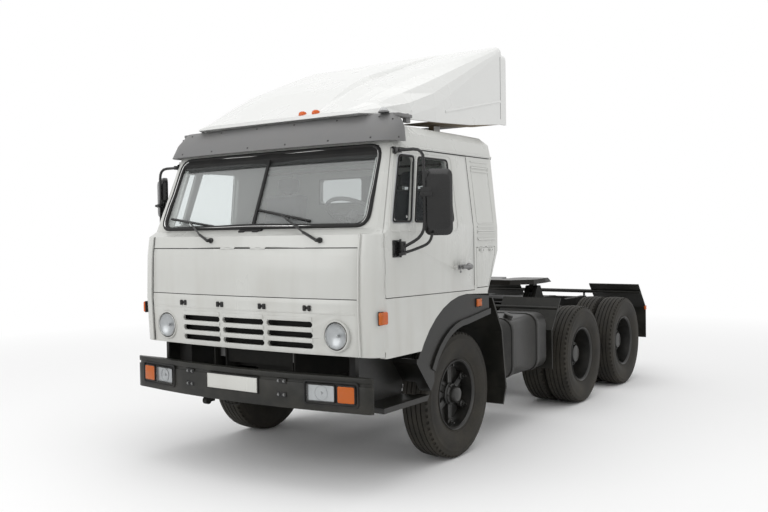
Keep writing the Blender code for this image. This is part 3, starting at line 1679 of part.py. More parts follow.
def make_powertrain():
    engine = prism([
        (-engine_half, engine_bottom + sump_half), (-sump_half, engine_bottom),
        (sump_half, engine_bottom), (engine_half, engine_bottom + sump_half),
        (engine_half, engine_top - sump_half), (sump_half, engine_top),
        (-sump_half, engine_top), (-engine_half, engine_top - sump_half)],
        "y", engine_front, engine_rear)
    case = prism([
        (-gearbox_half, gearbox_bottom), (gearbox_half, gearbox_bottom),
        (gearbox_half, gearbox_top), (-gearbox_half, gearbox_top)], "y",
        engine_rear - bite, gearbox_rear - shaft_flange_radius)
    nose = rod(
        (0, gearbox_rear - shaft_flange_radius * 2, shaft_front_z), (0, gearbox_rear, shaft_front_z),
        shaft_flange_radius, 14)
    shape = fused(engine, case, nose)
    shape = cut(shape, box(
        (-side_reach, side_reach), (cross_places[1] - cross_depth, side_reach),
        (rail_top - cross_height * 1.5, side_reach)))
    cooler = box(
        (-radiator_half + bite, radiator_half - bite),
        (radiator_front, radiator_front + radiator_thickness), (radiator_bottom, radiator_top))
    neck = rod(
        (0, radiator_front + radiator_thickness - bite, (radiator_bottom + radiator_top) / 2),
        (0, engine_front + bite, (radiator_bottom + radiator_top) / 2), drum_radius, 20)
    mounts = both(box(
        (engine_half - bite, rail_x - rail_wall),
        (engine_mount_y - engine_mount_half, engine_mount_y + engine_mount_half),
        (rail_top + seat_gap, rail_top + engine_mount_height)))
    node("powertrain", fused(shape, cooler, neck, *mounts), "black_steel")


def make_bumper():
    corner = bumper_corner

    def ring(inset, height, rear):
        edge = bumper_half - inset - corner
        right = []
        for step in range(bow_steps + 1):
            share = step / bow_steps
            right.append((edge * share, bumper_front + inset + bumper_bow * share * share))
        for step in range(1, corner_steps + 1):
            angle = math.pi / 2 * step / corner_steps
            right.append((
                edge + corner * math.sin(angle),
                bumper_front + inset + bumper_bow + bumper_corner_depth * (1 - math.cos(angle))))
        right.append((bumper_half - inset, rear))
        row = right + [(-x, y) for x, y in reversed(right[1:])]
        return [Vector((x, y, height)) for x, y in row]

    def slab(inset, low, high, rear=bumper_rear):
        return loft([ring(inset, low, rear), ring(inset, high, rear)])

    shell = slab(0.0, bumper_bottom, bumper_top)
    inner = slab(bumper_wall, bumper_bottom - overrun, bumper_top + overrun, frame_front)
    shell = cut(shell, inner)
    ridge_low = bumper_top - bumper_ridge_top - bumper_ridge_height
    groove = cut(
        slab(-overrun, ridge_low, ridge_low + bumper_ridge, frame_front),
        slab(bumper_ridge / 3, ridge_low - overrun, ridge_low + overrun, side_reach))
    shell = cut(shell, groove)
    recess = shared(
        cut(slab(-overrun, lamp_low(), lamp_low() + bumper_lamp_height, frame_front),
            slab(bumper_lamp_depth, bumper_bottom, bumper_top, side_reach)),
        box((bumper_lamp_x - bumper_lamp_width / 2, bumper_lamp_x + bumper_lamp_width / 2),
            (-side_reach, side_reach), (bumper_bottom, bumper_top)))
    shell = cut(shell, *both(recess))
    brackets = both(box(
        (bumper_bracket_x, bumper_bracket_x + rail_flange / 2),
        (bumper_front + bumper_wall / 2 + bumper_bow / 4, frame_front - seat_gap),
        (rail_bottom, bumper_top - bumper_wall)))
    node("bumper", fused(shell, *brackets), "black_plastic")
    lens = shared(
        cut(slab(bumper_ridge / 4, bumper_bottom, bumper_top, frame_front),
            slab(bumper_lamp_depth - seat_gap, bumper_bottom - overrun, bumper_top + overrun, side_reach)),
        box((bumper_lamp_x - bumper_lamp_width / 2 + seat_gap, bumper_lamp_x + bumper_lamp_width / 2 - seat_gap),
            (-side_reach, bumper_rear - seat_gap),
            (lamp_low() + seat_gap, lamp_low() + bumper_lamp_height - seat_gap)))
    for name, side in sides():
        node("bumper_lamp_" + name, sided(lens, side), "lamp")


def lamp_low():
    return bumper_top - bumper_ridge_top - bumper_ridge_height - bumper_lamp_height


def make_tank():
    outline = rounded([
        (tank_inner_x, tank_low), (tank_outer_x, tank_low), (tank_outer_x, tank_top),
        (tank_inner_x, tank_top)], tank_corner, 4)
    body = prism(outline, "y", tank_front, tank_rear)
    parts = []
    for share in strap_shares:
        middle = tank_front + (tank_rear - tank_front) * share
        band = rounded([
            (tank_inner_x - strap_thickness, tank_low - strap_thickness),
            (tank_outer_x + strap_thickness, tank_low - strap_thickness),
            (tank_outer_x + strap_thickness, tank_top + strap_thickness),
            (tank_inner_x - strap_thickness, tank_top + strap_thickness)], tank_corner, 4)
        parts.append(prism(band, "y", middle - strap_width / 2, middle + strap_width / 2))
        parts.append(box(
            (rail_x + seat_gap, tank_inner_x), (middle - strap_width / 2, middle + strap_width / 2),
            (rail_bottom + tank_shelf, rail_top - tank_shelf)))
    cap_y = tank_front + (tank_rear - tank_front) * tank_cap_share
    parts.append(rod(
        (tank_outer_x - tank_corner, cap_y, tank_top - tank_corner * 0.4),
        (tank_outer_x - tank_corner + tank_cap_height * 0.7, cap_y, tank_top + tank_cap_height * 0.7),
        tank_cap_radius, 14))
    node("fuel_tank", fused(body, *parts), "black_plastic")

    case = prism(rounded([
        (-box_outer_x, box_low), (-rail_x - seat_gap, box_low), (-rail_x - seat_gap, box_top),
        (-box_outer_x, box_top)], tank_cap_radius / 2, 2), "y", box_front, box_rear)
    node("battery_box", case, "black_plastic")
    can = rod(
        (silencer_x, silencer_front, silencer_z), (silencer_x, silencer_rear, silencer_z),
        silencer_radius, 16)
    strap = box(
        (silencer_x, -rail_x - seat_gap), (silencer_front + silencer_radius, silencer_front + silencer_radius * 2),
        (silencer_z, rail_bottom + tank_shelf * 3))
    node("silencer", fused(can, strap), "black_steel")


def sheet_outline(points, thickness):
    """Give an open line of points a thickness."""
    left = []
    right = []
    for at, point in enumerate(points):
        before = Vector(points[max(at - 1, 0)])
        after = Vector(points[min(at + 1, len(points) - 1)])
        ahead = (after - before).normalized()
        normal = Vector((-ahead.y, ahead.x)) * thickness / 2
        left.append(tuple(Vector(point) + normal))
        right.append(tuple(Vector(point) - normal))
    return left + list(reversed(right))


def make_mudguards():
    front_line = [
        (guard_front_low_y, guard_low_z), (guard_front_low_y, guard_bend_z),
        (guard_front_top_y, guard_top_z)]
    rear_line = [
        (guard_rear_bend_y, guard_low_z), (guard_rear_bend_y, guard_bend_z),
        (guard_rear_top_y, guard_top_z)]
    for name, line, place in (
            ("front", front_line, guard_front_low_y + (guard_front_top_y - guard_front_low_y) * 0.6),
            ("rear", rear_line, guard_rear_bend_y + (guard_rear_top_y - guard_rear_bend_y) * 0.6)):
        parts = both(prism(sheet_outline(line, guard_sheet), "x", guard_inner_x, guard_outer_x))
        inward = guard_tube_radius if name == "front" else -guard_tube_radius
        tube = rod(
            (-guard_outer_x + bite, place + inward, guard_tube_z),
            (guard_outer_x - bite, place + inward, guard_tube_z), guard_tube_radius, 10)
        legs = both(box(
            (rail_x + seat_gap - rail_flange / 2, rail_x - rail_wall * 2),
            (place + inward - guard_tube_radius, place + inward + guard_tube_radius),
            (rail_top + seat_gap, guard_tube_z)))
        node("bogie_mudguard_" + name, fused(tube, *parts, *legs), "black_plastic")
    line = [
        (wing_top_y, wing_top_z), (wing_mid_y, wing_mid_z), (wing_low_y, wing_low_z),
        (wing_low_y - wing_sheet * 3, wing_flap_z)]
    wing = prism(sheet_outline(line, wing_sheet), "x", wing_inner_x, wing_outer_x)
    stay_z = rail_top + guard_tube_radius + seat_gap
    stay = rod(
        (-wing_inner_x - bite * 3, wing_mid_y, stay_z),
        (wing_inner_x + bite * 3, wing_mid_y, stay_z), guard_tube_radius, 10)
    feet = both(box(
        (rail_x + seat_gap - rail_flange / 2, rail_x - rail_wall * 2),
        (wing_mid_y - guard_tube_radius, wing_mid_y + guard_tube_radius),
        (rail_top + seat_gap, stay_z)))
    node("front_mudguards", fused(stay, *feet, *both(wing)), "black_plastic")


def make_fifth_wheel():
    pivot = plate_top - plate_pivot_drop
    outline = [
        (-plate_half * 0.55, plate_y - plate_front), (plate_half * 0.55, plate_y - plate_front),
        (plate_half, plate_y - plate_front * 0.45), (plate_half, plate_y + plate_rear * 0.35),
        (plate_half * 0.92, plate_y + plate_rear), (slot_mouth_half, plate_y + plate_rear),
        (slot_half, plate_y + plate_rear * 0.3), (slot_half, plate_y),
        (slot_half * 0.7, plate_y - slot_half * 0.7), (0.0, plate_y - slot_half),
        (-slot_half * 0.7, plate_y - slot_half * 0.7), (-slot_half, plate_y),
        (-slot_half, plate_y + plate_rear * 0.3), (-slot_mouth_half, plate_y + plate_rear),
        (-plate_half * 0.92, plate_y + plate_rear), (-plate_half, plate_y + plate_rear * 0.35),
        (-plate_half, plate_y - plate_front * 0.45)]
    plate = prism(outline, "z", plate_top - plate_thickness, plate_top)
    ramp = both(prism([
        (plate_y + plate_rear * 0.6, plate_top + overrun), (plate_y + plate_rear + overrun, plate_top + overrun),
        (plate_y + plate_rear + overrun, plate_top - plate_ramp),
        (plate_y + plate_rear * 0.6, plate_top)], "x", slot_half, side_reach))
    plate = cut(plate, *ramp)
    lugs = both(prism([
        (plate_y - fifth_ear_depth / 2, pivot), (plate_y - fifth_ear_depth / 3, pivot - fifth_pin_radius * 1.6),
        (plate_y + fifth_ear_depth / 3, pivot - fifth_pin_radius * 1.6), (plate_y + fifth_ear_depth / 2, pivot),
        (plate_y + fifth_ear_depth / 2, plate_top - bite), (plate_y - fifth_ear_depth / 2, plate_top - bite)],
        "x", fifth_ear_x - fifth_ear_width / 2, fifth_ear_x + fifth_ear_width / 2))
    hole = rod((-side_reach, plate_y, pivot), (side_reach, plate_y, pivot), fifth_pin_radius + pin_play, 16)
    shape = cut(fused(plate, *lugs), hole)
    node("fifth_wheel_plate", shape, "black_steel", (0, plate_y, pivot))

    # Sub-frame with sloping ends, and the stands that hold the pin
    rail = prism([
        (subframe_front, rail_top + seat_gap), (subframe_rear, rail_top + seat_gap),
        (subframe_rear - subframe_slope, rail_top + subframe_height),
        (subframe_front + subframe_slope / 3, rail_top + subframe_height)], "x",
        subframe_x - subframe_width / 2, subframe_x + subframe_width / 2)
    bed = box(
        (-subframe_x, subframe_x), (plate_y - bracket_length, plate_y + bracket_length),
        (rail_top + subframe_height - tank_shelf, rail_top + subframe_height))
    stands = []
    for low in (fifth_ear_x - fifth_ear_width / 2 - seat_gap - bracket_width,
                fifth_ear_x + fifth_ear_width / 2 + seat_gap):
        stands += both(prism([
            (plate_y - bracket_length / 2, rail_top + subframe_height - bite),
            (plate_y + bracket_length / 2, rail_top + subframe_height - bite),
            (plate_y + fifth_pin_radius * 1.5, pivot + fifth_pin_radius * 1.1),
            (plate_y - fifth_pin_radius * 1.5, pivot + fifth_pin_radius * 1.1)], "x",
            low, low + bracket_width))
    pins = both(rod(
        (fifth_ear_x - fifth_ear_width / 2 - bracket_width, plate_y, pivot),
        (fifth_ear_x + fifth_ear_width / 2 + bracket_width, plate_y, pivot), fifth_pin_radius, 14))
    rails = both(rail)
    node("fifth_wheel_base", fused(rails[0], rails[1], bed, *stands, *pins), "black_steel")


def make_truck():
    clean_scene()
    origin = bpy.data.objects.new("truck_origin", None)
    bpy.context.scene.collection.objects.link(origin)
    origin.location = (0, -middle_y, 0)
    make_frame()
    make_front_axle()
    make_knuckles()
    make_front_wheels()
    make_twin_wheels()
    make_drive_axles()
    make_powertrain()
    make_bumper()
    make_tank()
    make_mudguards()
    make_fifth_wheel()
    make_cab_shell()
    make_sides()
    make_doors()
    make_arches()
    make_visor()
    make_fairing()
    make_cab_inside()
    make_headlamps()


make_truck()
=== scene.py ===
import math

import bmesh
import bpy
from mathutils import Matrix, Vector
from mathutils.bvhtree import BVHTree
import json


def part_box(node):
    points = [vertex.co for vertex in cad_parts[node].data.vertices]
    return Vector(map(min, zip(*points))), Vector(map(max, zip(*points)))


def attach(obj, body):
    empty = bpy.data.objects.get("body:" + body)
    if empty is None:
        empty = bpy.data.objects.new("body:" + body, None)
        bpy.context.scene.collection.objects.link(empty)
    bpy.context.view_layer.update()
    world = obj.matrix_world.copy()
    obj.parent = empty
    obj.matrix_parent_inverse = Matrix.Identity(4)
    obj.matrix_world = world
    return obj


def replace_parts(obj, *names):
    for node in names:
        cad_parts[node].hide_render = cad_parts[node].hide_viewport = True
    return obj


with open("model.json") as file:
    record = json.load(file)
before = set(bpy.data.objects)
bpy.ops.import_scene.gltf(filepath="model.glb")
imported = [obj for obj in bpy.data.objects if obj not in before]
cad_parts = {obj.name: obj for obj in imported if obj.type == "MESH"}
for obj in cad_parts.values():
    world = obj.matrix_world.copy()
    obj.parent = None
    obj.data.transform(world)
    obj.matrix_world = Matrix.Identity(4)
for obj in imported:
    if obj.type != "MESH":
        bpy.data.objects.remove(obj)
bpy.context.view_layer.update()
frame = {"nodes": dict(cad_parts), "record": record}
axleY = -1.698  # every place below is measured from the front axle, which stands here
bodyOf = {node: body for body, nodes in frame["record"]["behaviour"]["bodies"].items() for node in nodes}
sides = (("left", 1), ("right", -1))


# shader sums

class Wire:
    def __init__(self, finish, socket):
        self.finish = finish
        self.socket = socket

    def math(self, operation, *values):
        return self.finish.add("ShaderNodeMath", {"operation": operation}, *values)

    def __add__(self, other):
        return self.math("ADD", self, other)

    def __radd__(self, other):
        return self.math("ADD", other, self)

    def __sub__(self, other):
        return self.math("SUBTRACT", self, other)

    def __rsub__(self, other):
        return self.math("SUBTRACT", other, self)

    def __mul__(self, other):
        return self.math("MULTIPLY", self, other)

    def __rmul__(self, other):
        return self.math("MULTIPLY", other, self)

    def __pow__(self, other):
        return self.math("POWER", self, other)

    def ramp(self, low, high):  # 0 below low, 1 above high
        return self.finish.add("ShaderNodeMapRange", {"clamp": True}, self, low, high, 0.0, 1.0)

    def wave(self, pitch):  # -1 to 1, one turn for each pitch
        return self.math("SINE", self * (2 * math.pi / pitch))

    def least(self, other):
        return self.math("MINIMUM", self, other)


class Finish:
    def __init__(self, name, colour, rough, metal=0.0, **fixed):
        self.material = bpy.data.materials.new(name)
        self.material.use_nodes = True
        self.tree = self.material.node_tree
        self.shader = self.tree.nodes["Principled BSDF"]
        self.output = self.tree.nodes["Material Output"]
        self.shader.inputs["Base Color"].default_value = (*colour, 1)
        self.shader.inputs["Roughness"].default_value = rough
        self.shader.inputs["Metallic"].default_value = metal
        for socket, value in fixed.items():
            self.shader.inputs[socket.replace("_", " ")].default_value = value
        self.place = self.add("ShaderNodeTexCoord", {}, out="Object")
        parts = self.add("ShaderNodeSeparateXYZ", {}, self.place, out=None)
        self.x, self.y, self.z = (Wire(self, socket) for socket in parts.outputs)

    def add(self, kind, settings, *values, out=0, **named):
        node = self.tree.nodes.new(kind)
        for setting, value in settings.items():
            setattr(node, setting, value)
        for key, value in list(enumerate(values)) + [(k.replace("_", " "), v) for k, v in named.items()]:
            if isinstance(value, Wire):
                self.tree.links.new(value.socket, node.inputs[key])
            elif value is not None:
                node.inputs[key].default_value = value
        return node if out is None else Wire(self, node.outputs[out])

    def noise(self, scale, detail=3.0, stretch=None):
        place = self.place
        if stretch:
            place = self.add("ShaderNodeMapping", {}, self.place, Scale=stretch)
        return self.add("ShaderNodeTexNoise", {}, Vector=place, Scale=scale, Detail=detail)

    def mix(self, factor, first, second):  # a colour between two
        node = self.add("ShaderNodeMix", {"data_type": "RGBA"}, out=None)
        for socket, value in ((node.inputs[0], factor), (node.inputs[6], first), (node.inputs[7], second)):
            if isinstance(value, Wire):
                self.tree.links.new(value.socket, socket)
            else:
                socket.default_value = (*value[:3], 1) if isinstance(value, tuple) else value
        return Wire(self, node.outputs[2])

    def cover(self, factor, under):  # the painted surface over another shader, by factor
        blend = self.add("ShaderNodeMixShader", {}, factor, under)
        self.tree.links.new(self.shader.outputs[0], blend.socket.node.inputs[2])
        self.tree.links.new(blend.socket, self.output.inputs["Surface"])

    def feed(self, socket, wire):
        self.tree.links.new(wire.socket, self.shader.inputs[socket])

    def bump(self, height, distance, strength=1.0):
        normal = self.add("ShaderNodeBump", {}, Strength=strength, Distance=distance, Height=height)
        self.feed("Normal", normal)


# finishes

dust = (0.30, 0.27, 0.22)


def shaded(colour, share):
    return tuple(value * share for value in colour)


def cabPaint(name, colour, dustShare):
    paint = Finish(name, colour, 0.32, Coat_Weight=0.25, Coat_Roughness=0.12)
    cloud = paint.noise(2.2, 4.0)
    streak = paint.noise(9.0, 4.0, (1.0, 1.0, 0.12))
    # the mask is stronger towards the bottom, so this pale paint gets darker towards the bottom
    low = 1 - paint.z.ramp(0.9, 1.9)
    mask = (streak.ramp(0.45, 0.75) * 0.5 + cloud.ramp(0.4, 0.75) * 0.35) * (low * 0.8 + 0.2) * dustShare
    tone = paint.mix(cloud.ramp(0.3, 0.7) * 0.5, colour, shaded(colour, 0.965))
    paint.feed("Base Color", paint.mix(mask, tone, dust))
    paint.feed("Roughness", mask * 0.35 + cloud * 0.08 + 0.24)
    paint.bump(paint.noise(7.0, 2.0), 0.0012, 0.25)
    return paint.material


def blackPlastic(name, colour, rough, dustShare, shine=0.28, grainSize=420.0):
    plastic = Finish(name, colour, rough, Specular_IOR_Level=shine)
    cloud = plastic.noise(6.0, 5.0)
    low = 1 - plastic.z.ramp(0.3, 1.3)
    mask = cloud.ramp(0.42, 0.8) * (low * 0.7 + 0.3) * dustShare
    plastic.feed("Base Color", plastic.mix(mask, colour, dust))
    plastic.feed("Roughness", mask * 0.3 + cloud * 0.15 + (rough - 0.08))
    plastic.bump(plastic.noise(grainSize, 2.0), 0.0006, 0.35)
    return plastic.material


def chassisPaint(name, colour, rough, dustShare, shine=0.20):
    steel = Finish(name, colour, rough, 0.1, Specular_IOR_Level=shine)
    cloud = steel.noise(7.0, 6.0)
    spot = steel.noise(38.0, 4.0)
    low = 1 - steel.z.ramp(0.2, 1.3)
    mask = (cloud.ramp(0.38, 0.75) * 0.7 + spot.ramp(0.55, 0.7) * 0.3) * (low * 0.75 + 0.25) * dustShare
    steel.feed("Base Color", steel.mix(mask, colour, dust))
    steel.feed("Roughness", mask * 0.4 + (rough - 0.05) + cloud * 0.12)
    steel.bump(spot, 0.0015, 0.3)
    return steel.material


def tyreRubber(name):
    black, worn = (0.016, 0.015, 0.013), (0.075, 0.066, 0.050)
    rubber = Finish(name, black, 0.72, Specular_IOR_Level=0.25)
    cloud = rubber.noise(5.0, 5.0)
    fine = rubber.noise(60.0, 4.0)
    low = 1 - rubber.z.ramp(0.0, 1.2)
    mask = (cloud.ramp(0.3, 0.8) * 0.7 + fine.ramp(0.45, 0.8) * 0.3) * (low * 0.35 + 0.35)
    rubber.feed("Base Color", rubber.mix(mask, black, worn))
    rubber.feed("Roughness", mask * 0.2 + 0.66)
    rubber.bump(fine, 0.0015, 0.3)
    return rubber.material


# painted reflection: a pale cover on the outside only, standing in for the sky's reflection, and hardly any above
# bandAt
def windowGlass(name, tint, cover, bandAt=None, clearness=0.93):
    glass = Finish(name, tint, 0.04)
    clear = glass.add("ShaderNodeBsdfTransparent", {}, Color=(clearness, clearness * 1.02, clearness * 1.02, 1))
    edge = glass.add("ShaderNodeLayerWeight", {}, Blend=0.25, out="Fresnel")
    inside = glass.add("ShaderNodeNewGeometry", {}, out="Backfacing")
    # above bandAt the painted reflection is left out, so the near-black header lining behind shows as a painted dark
    # band
    if bandAt:
        cover = (1 - glass.z.ramp(bandAt, bandAt + 0.008)) * cover + 0.02
    # the pale cover and its Fresnel edge together are the painted reflection
    hazeAndPaintedReflection = edge * 0.9 + cover
    glass.cover(hazeAndPaintedReflection.least(1.0) * (1 - inside), clear)
    return glass.material


def lampLens(name, tint, cover, ribPitch):
    lens = Finish(name, tint, 0.08, Coat_Weight=0.3, Coat_Roughness=0.05)
    clear = lens.add("ShaderNodeBsdfTransparent", {}, Color=(*tint, 1))
    mist = lens.noise(30.0, 2.0)
    lens.cover(mist * 0.05 + cover, clear)
    lens.bump((lens.x + lens.y).wave(ribPitch) * 0.5 + 0.5, 0.002, 0.6)
    return lens.material


def bareMetal(name, colour, rough):
    metal = Finish(name, colour, rough, 1.0)
    hazeAndPaintedReflection = metal.noise(24.0, 4.0)
    metal.feed("Roughness", hazeAndPaintedReflection * 0.14 + (rough - 0.05))
    metal.feed("Base Color", metal.mix(hazeAndPaintedReflection.ramp(0.5, 0.8) * 0.3, colour, shaded(colour, 0.6)))
    return metal.material


def clothWeave(name, colour):
    cloth = Finish(name, colour, 0.9, Sheen_Weight=0.3)
    thread = cloth.x.wave(0.004) * cloth.y.wave(0.004) + cloth.z.wave(0.004) * cloth.y.wave(0.004)
    cloud = cloth.noise(8.0, 4.0)
    cloth.feed("Base Color", cloth.mix(cloud.ramp(0.3, 0.7) * 0.5, colour, shaded(colour, 0.6)))
    cloth.bump(thread, 0.0006, 0.5)
    return cloth.material


finishes = {
    "cab": cabPaint("cabPaint", (0.535, 0.54, 0.515), 0.45),
    "fairing": cabPaint("fairingPaint", (0.68, 0.685, 0.67), 0.05),
    "visor": blackPlastic("visorPlastic", (0.17, 0.17, 0.17), 0.5, 0.25),
    "bumper": blackPlastic("bumperPlastic", (0.012, 0.012, 0.010), 0.42, 0.10),
    "flare": blackPlastic("flarePlastic", (0.007, 0.007, 0.006), 0.34, 0.05, 0.40),
    "mirror": blackPlastic("mirrorPlastic", (0.008, 0.008, 0.008), 0.28, 0.04, 0.45),
    "rubber": blackPlastic("sealRubber", (0.012, 0.012, 0.012), 0.6, 0.10),
    "inside": blackPlastic("insideVinyl", (0.16, 0.16, 0.158), 0.6, 0.05),
    "steel": chassisPaint("chassisPaint", (0.008, 0.008, 0.007), 0.55, 0.07),
    "hub": chassisPaint("hubPaint", (0.012, 0.012, 0.011), 0.32, 0.08, 0.60),
    "axle": chassisPaint("axlePaint", (0.008, 0.008, 0.007), 0.6, 0.08),
    "tank": chassisPaint("tankPaint", (0.014, 0.014, 0.013), 0.36, 0.12),
    "grease": chassisPaint("greasedPlate", (0.014, 0.013, 0.011), 0.32, 0.20),
    "tyre": tyreRubber("tyreRubber"),
    # painted reflection: the windows' pale covers stand for the sky's reflection; the windscreen's strong one is left
    # out above 2.404 for a painted dark band
    "glass": windowGlass("windowGlass", (0.14, 0.14, 0.13), 0.04),
    "screen": windowGlass("windscreenGlass", (0.72, 0.74, 0.73), 0.27, 2.404),
    "rearGlass": windowGlass("rearWindowGlass", (0.30, 0.31, 0.30), 0.05, None, 0.68),
    "reflector": bareMetal("lampReflector", (0.42, 0.43, 0.44), 0.30),
    "dome": lampLens("domeLens", (0.62, 0.63, 0.63), 0.75, 0.020),
    "handle": bareMetal("handleMetal", (0.20, 0.20, 0.20), 0.32),
    "fibre": chassisPaint("bareFibreglass", (0.27, 0.215, 0.15), 0.75, 0.25),
    "lens": lampLens("clearLens", (0.92, 0.93, 0.93), 0.06, 0.012),
    "amber": lampLens("amberLens", (0.80, 0.17, 0.01), 0.55, 0.010),
    "red": lampLens("redLens", (0.65, 0.03, 0.02), 0.45, 0.010),
    "chrome": bareMetal("brightMetal", (0.75, 0.75, 0.74), 0.14),
    "plate": cabPaint("blankPlate", (0.56, 0.56, 0.53), 0.25),
    "seat": clothWeave("seatCloth", (0.06, 0.065, 0.075)),
}
print("finishes", len(finishes))


# making pieces

def done(name, shape, body, finish, slot, *replaced, crease=32.0, repair=True):
    if repair:
        bmesh.ops.recalc_face_normals(shape, faces=shape.faces)
    for edge in shape.edges:
        edge.smooth = edge.calc_face_angle(0.0) < math.radians(crease)
    for face in shape.faces:
        face.smooth = True
    mesh = bpy.data.meshes.new(name)
    bmesh.ops.translate(shape, verts=shape.verts, vec=(0, axleY, 0))
    shape.to_mesh(mesh)
    shape.free()
    mesh.materials.append(finishes[finish])
    piece = bpy.data.objects.new(name, mesh)
    bpy.context.scene.collection.objects.link(piece)
    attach(piece, body)
    if replaced:
        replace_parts(piece, *replaced)
    return piece


def cadShape(node, flat=0.3):  # a merged copy of a node's mesh, measured from the front axle
    shape = bmesh.new()
    shape.from_mesh(frame["nodes"][node].data)
    bmesh.ops.remove_doubles(shape, verts=shape.verts, dist=0.00002)
    bmesh.ops.dissolve_limit(shape, angle_limit=math.radians(flat), verts=shape.verts, edges=shape.edges)
    bmesh.ops.translate(shape, verts=shape.verts, vec=(0, -axleY, 0))
    return shape


def softened(shape, width, segments=2, sharp=28.0, most=150.0):
    edges = [edge for edge in shape.edges if edge.is_manifold
             and math.radians(sharp) < edge.calc_face_angle(0.0) < math.radians(most)]
    bmesh.ops.bevel(shape, geom=edges, offset=width, offset_type="OFFSET", segments=segments,
                    profile=0.5, affect="EDGES", clamp_overlap=True, material=-1)
    return shape


# making shapes

def turned(profile, axis, centre, steps):  # profile rows are (along the axis, radius)
    shape = bmesh.new()
    row = [shape.verts.new((radius, 0, along)) for along, radius in profile]
    for first, second in zip(row, row[1:]):
        shape.edges.new((first, second))
    bmesh.ops.spin(shape, geom=shape.verts[:] + shape.edges[:], cent=(0, 0, 0), axis=(0, 0, 1),
                   dvec=(0, 0, 0), angle=2 * math.pi, steps=steps, use_merge=True, use_duplicate=False)
    bmesh.ops.remove_doubles(shape, verts=shape.verts, dist=0.00001)
    turn = {"x": Matrix.Rotation(math.pi / 2, 4, "Y"), "y": Matrix.Rotation(-math.pi / 2, 4, "X"),
            "z": Matrix.Identity(4)}[axis]
    bmesh.ops.transform(shape, matrix=Matrix.Translation(centre) @ turn, verts=shape.verts)
    return shape


def slab(x, y, z, round=0.0, segments=2):
    shape = bmesh.new()
    bmesh.ops.create_cube(shape, size=1.0)
    bmesh.ops.scale(shape, verts=shape.verts, vec=(x[1] - x[0], y[1] - y[0], z[1] - z[0]))
    bmesh.ops.translate(shape, verts=shape.verts,
                        vec=((x[0] + x[1]) / 2, (y[0] + y[1]) / 2, (z[0] + z[1]) / 2))
    if round:
        softened(shape, round, segments)
    return shape


def shifted(profile, along, radius=0.0):
    return [(along + a, radius + r) for a, r in profile]


def plated(outline, axis, low, high):  # a flat outline given thickness along an axis
    shape = bmesh.new()
    place = {"x": lambda a, b: (low, a, b), "y": lambda a, b: (a, low, b), "z": lambda a, b: (a, b, low)}[axis]
    face = shape.faces.new([shape.verts.new(place(a, b)) for a, b in outline])
    grown = bmesh.ops.extrude_face_region(shape, geom=[face])
    step = {"x": (high - low, 0, 0), "y": (0, high - low, 0), "z": (0, 0, high - low)}[axis]
    bmesh.ops.translate(shape, vec=step, verts=[v for v in grown["geom"] if isinstance(v, bmesh.types.BMVert)])
    bmesh.ops.recalc_face_normals(shape, faces=shape.faces)
    return shape


def gather(*shapes):
    whole = bmesh.new()
    for shape in shapes:
        mesh = bpy.data.meshes.new("gather")
        shape.to_mesh(mesh)
        shape.free()
        whole.from_mesh(mesh)
        bpy.data.meshes.remove(mesh)
    return whole


def sided(shape, side):  # side -1 mirrors the shape to the vehicle's right
    if side < 0:
        bmesh.ops.scale(shape, verts=shape.verts, vec=(-1, 1, 1))
        bmesh.ops.reverse_faces(shape, faces=shape.faces)
    return shape


def pipe(route, radius, corner=0.0, around=10, closed=False):  # a round bar along a route
    curve = bpy.data.curves.new("pipe", "CURVE")
    curve.dimensions = "3D"
    curve.bevel_depth = radius
    curve.bevel_resolution = max(1, around // 4 - 1)
    curve.use_fill_caps = not closed
    points = [Vector(point) for point in route]
    if corner:
        bent = [] if closed else [points[0]]
        for place in range(0 if closed else 1, len(points) - (0 if closed else 1)):
            here, before, after = points[place], points[place - 1], points[(place + 1) % len(points)]
            start = here + (before - here).normalized() * corner
            end = here + (after - here).normalized() * corner
            bent += [start.lerp(here, share).lerp(here.lerp(end, share), share) for share in (0, 0.25, 0.5, 0.75, 1)]
        points = bent + ([] if closed else [points[-1]])
    line = curve.splines.new("POLY")
    line.points.add(len(points) - 1)
    for point, place in zip(line.points, points):
        point.co = (*place, 1)
    line.use_cyclic_u = closed
    holder = bpy.data.objects.new("pipe", curve)
    mesh = bpy.data.meshes.new_from_object(holder)
    shape = bmesh.new()
    shape.from_mesh(mesh)
    bpy.data.objects.remove(holder)
    bpy.data.curves.remove(curve)
    bpy.data.meshes.remove(mesh)
    bmesh.ops.remove_doubles(shape, verts=shape.verts, dist=0.00001)
    return shape


def moved(shape, vec=(0, 0, 0), turn=None, centre=(0, 0, 0)):
    if turn:
        angle, axis = turn
        bmesh.ops.rotate(shape, cent=centre, matrix=Matrix.Rotation(math.radians(angle), 3, axis), verts=shape.verts)
    bmesh.ops.translate(shape, verts=shape.verts, vec=vec)
    return shape


def around(shape, count, axis, centre, first=0.0):  # copies of a shape in a ring, the shape among them
    rows = []
    for place in range(count):
        copy = shape.copy()
        rows.append(moved(copy, turn=(first + 360.0 * place / count, axis), centre=centre))
    shape.free()
    return gather(*rows)


def bolt(head, shank, axis, place):  # a hexagon head on a washer, along an axis
    sign = 1 if shank >= 0 else -1
    shape = turned([(0, 0), (0, head * 1.25), (sign * head * 0.25, head * 1.25), (sign * head * 0.25, 0)],
                   axis, place, 16)
    nut = turned([(0, 0), (0, head), (sign * head * 0.8, head), (sign * head, head * 0.82), (sign * head, 0)],
                 axis, place, 6)
    stud = turned([(0, 0), (0, head * 0.5), (shank, head * 0.5), (shank, 0)], axis, place, 8)
    return gather(shape, nut, stud)


# nodes that keep their solids' shapes

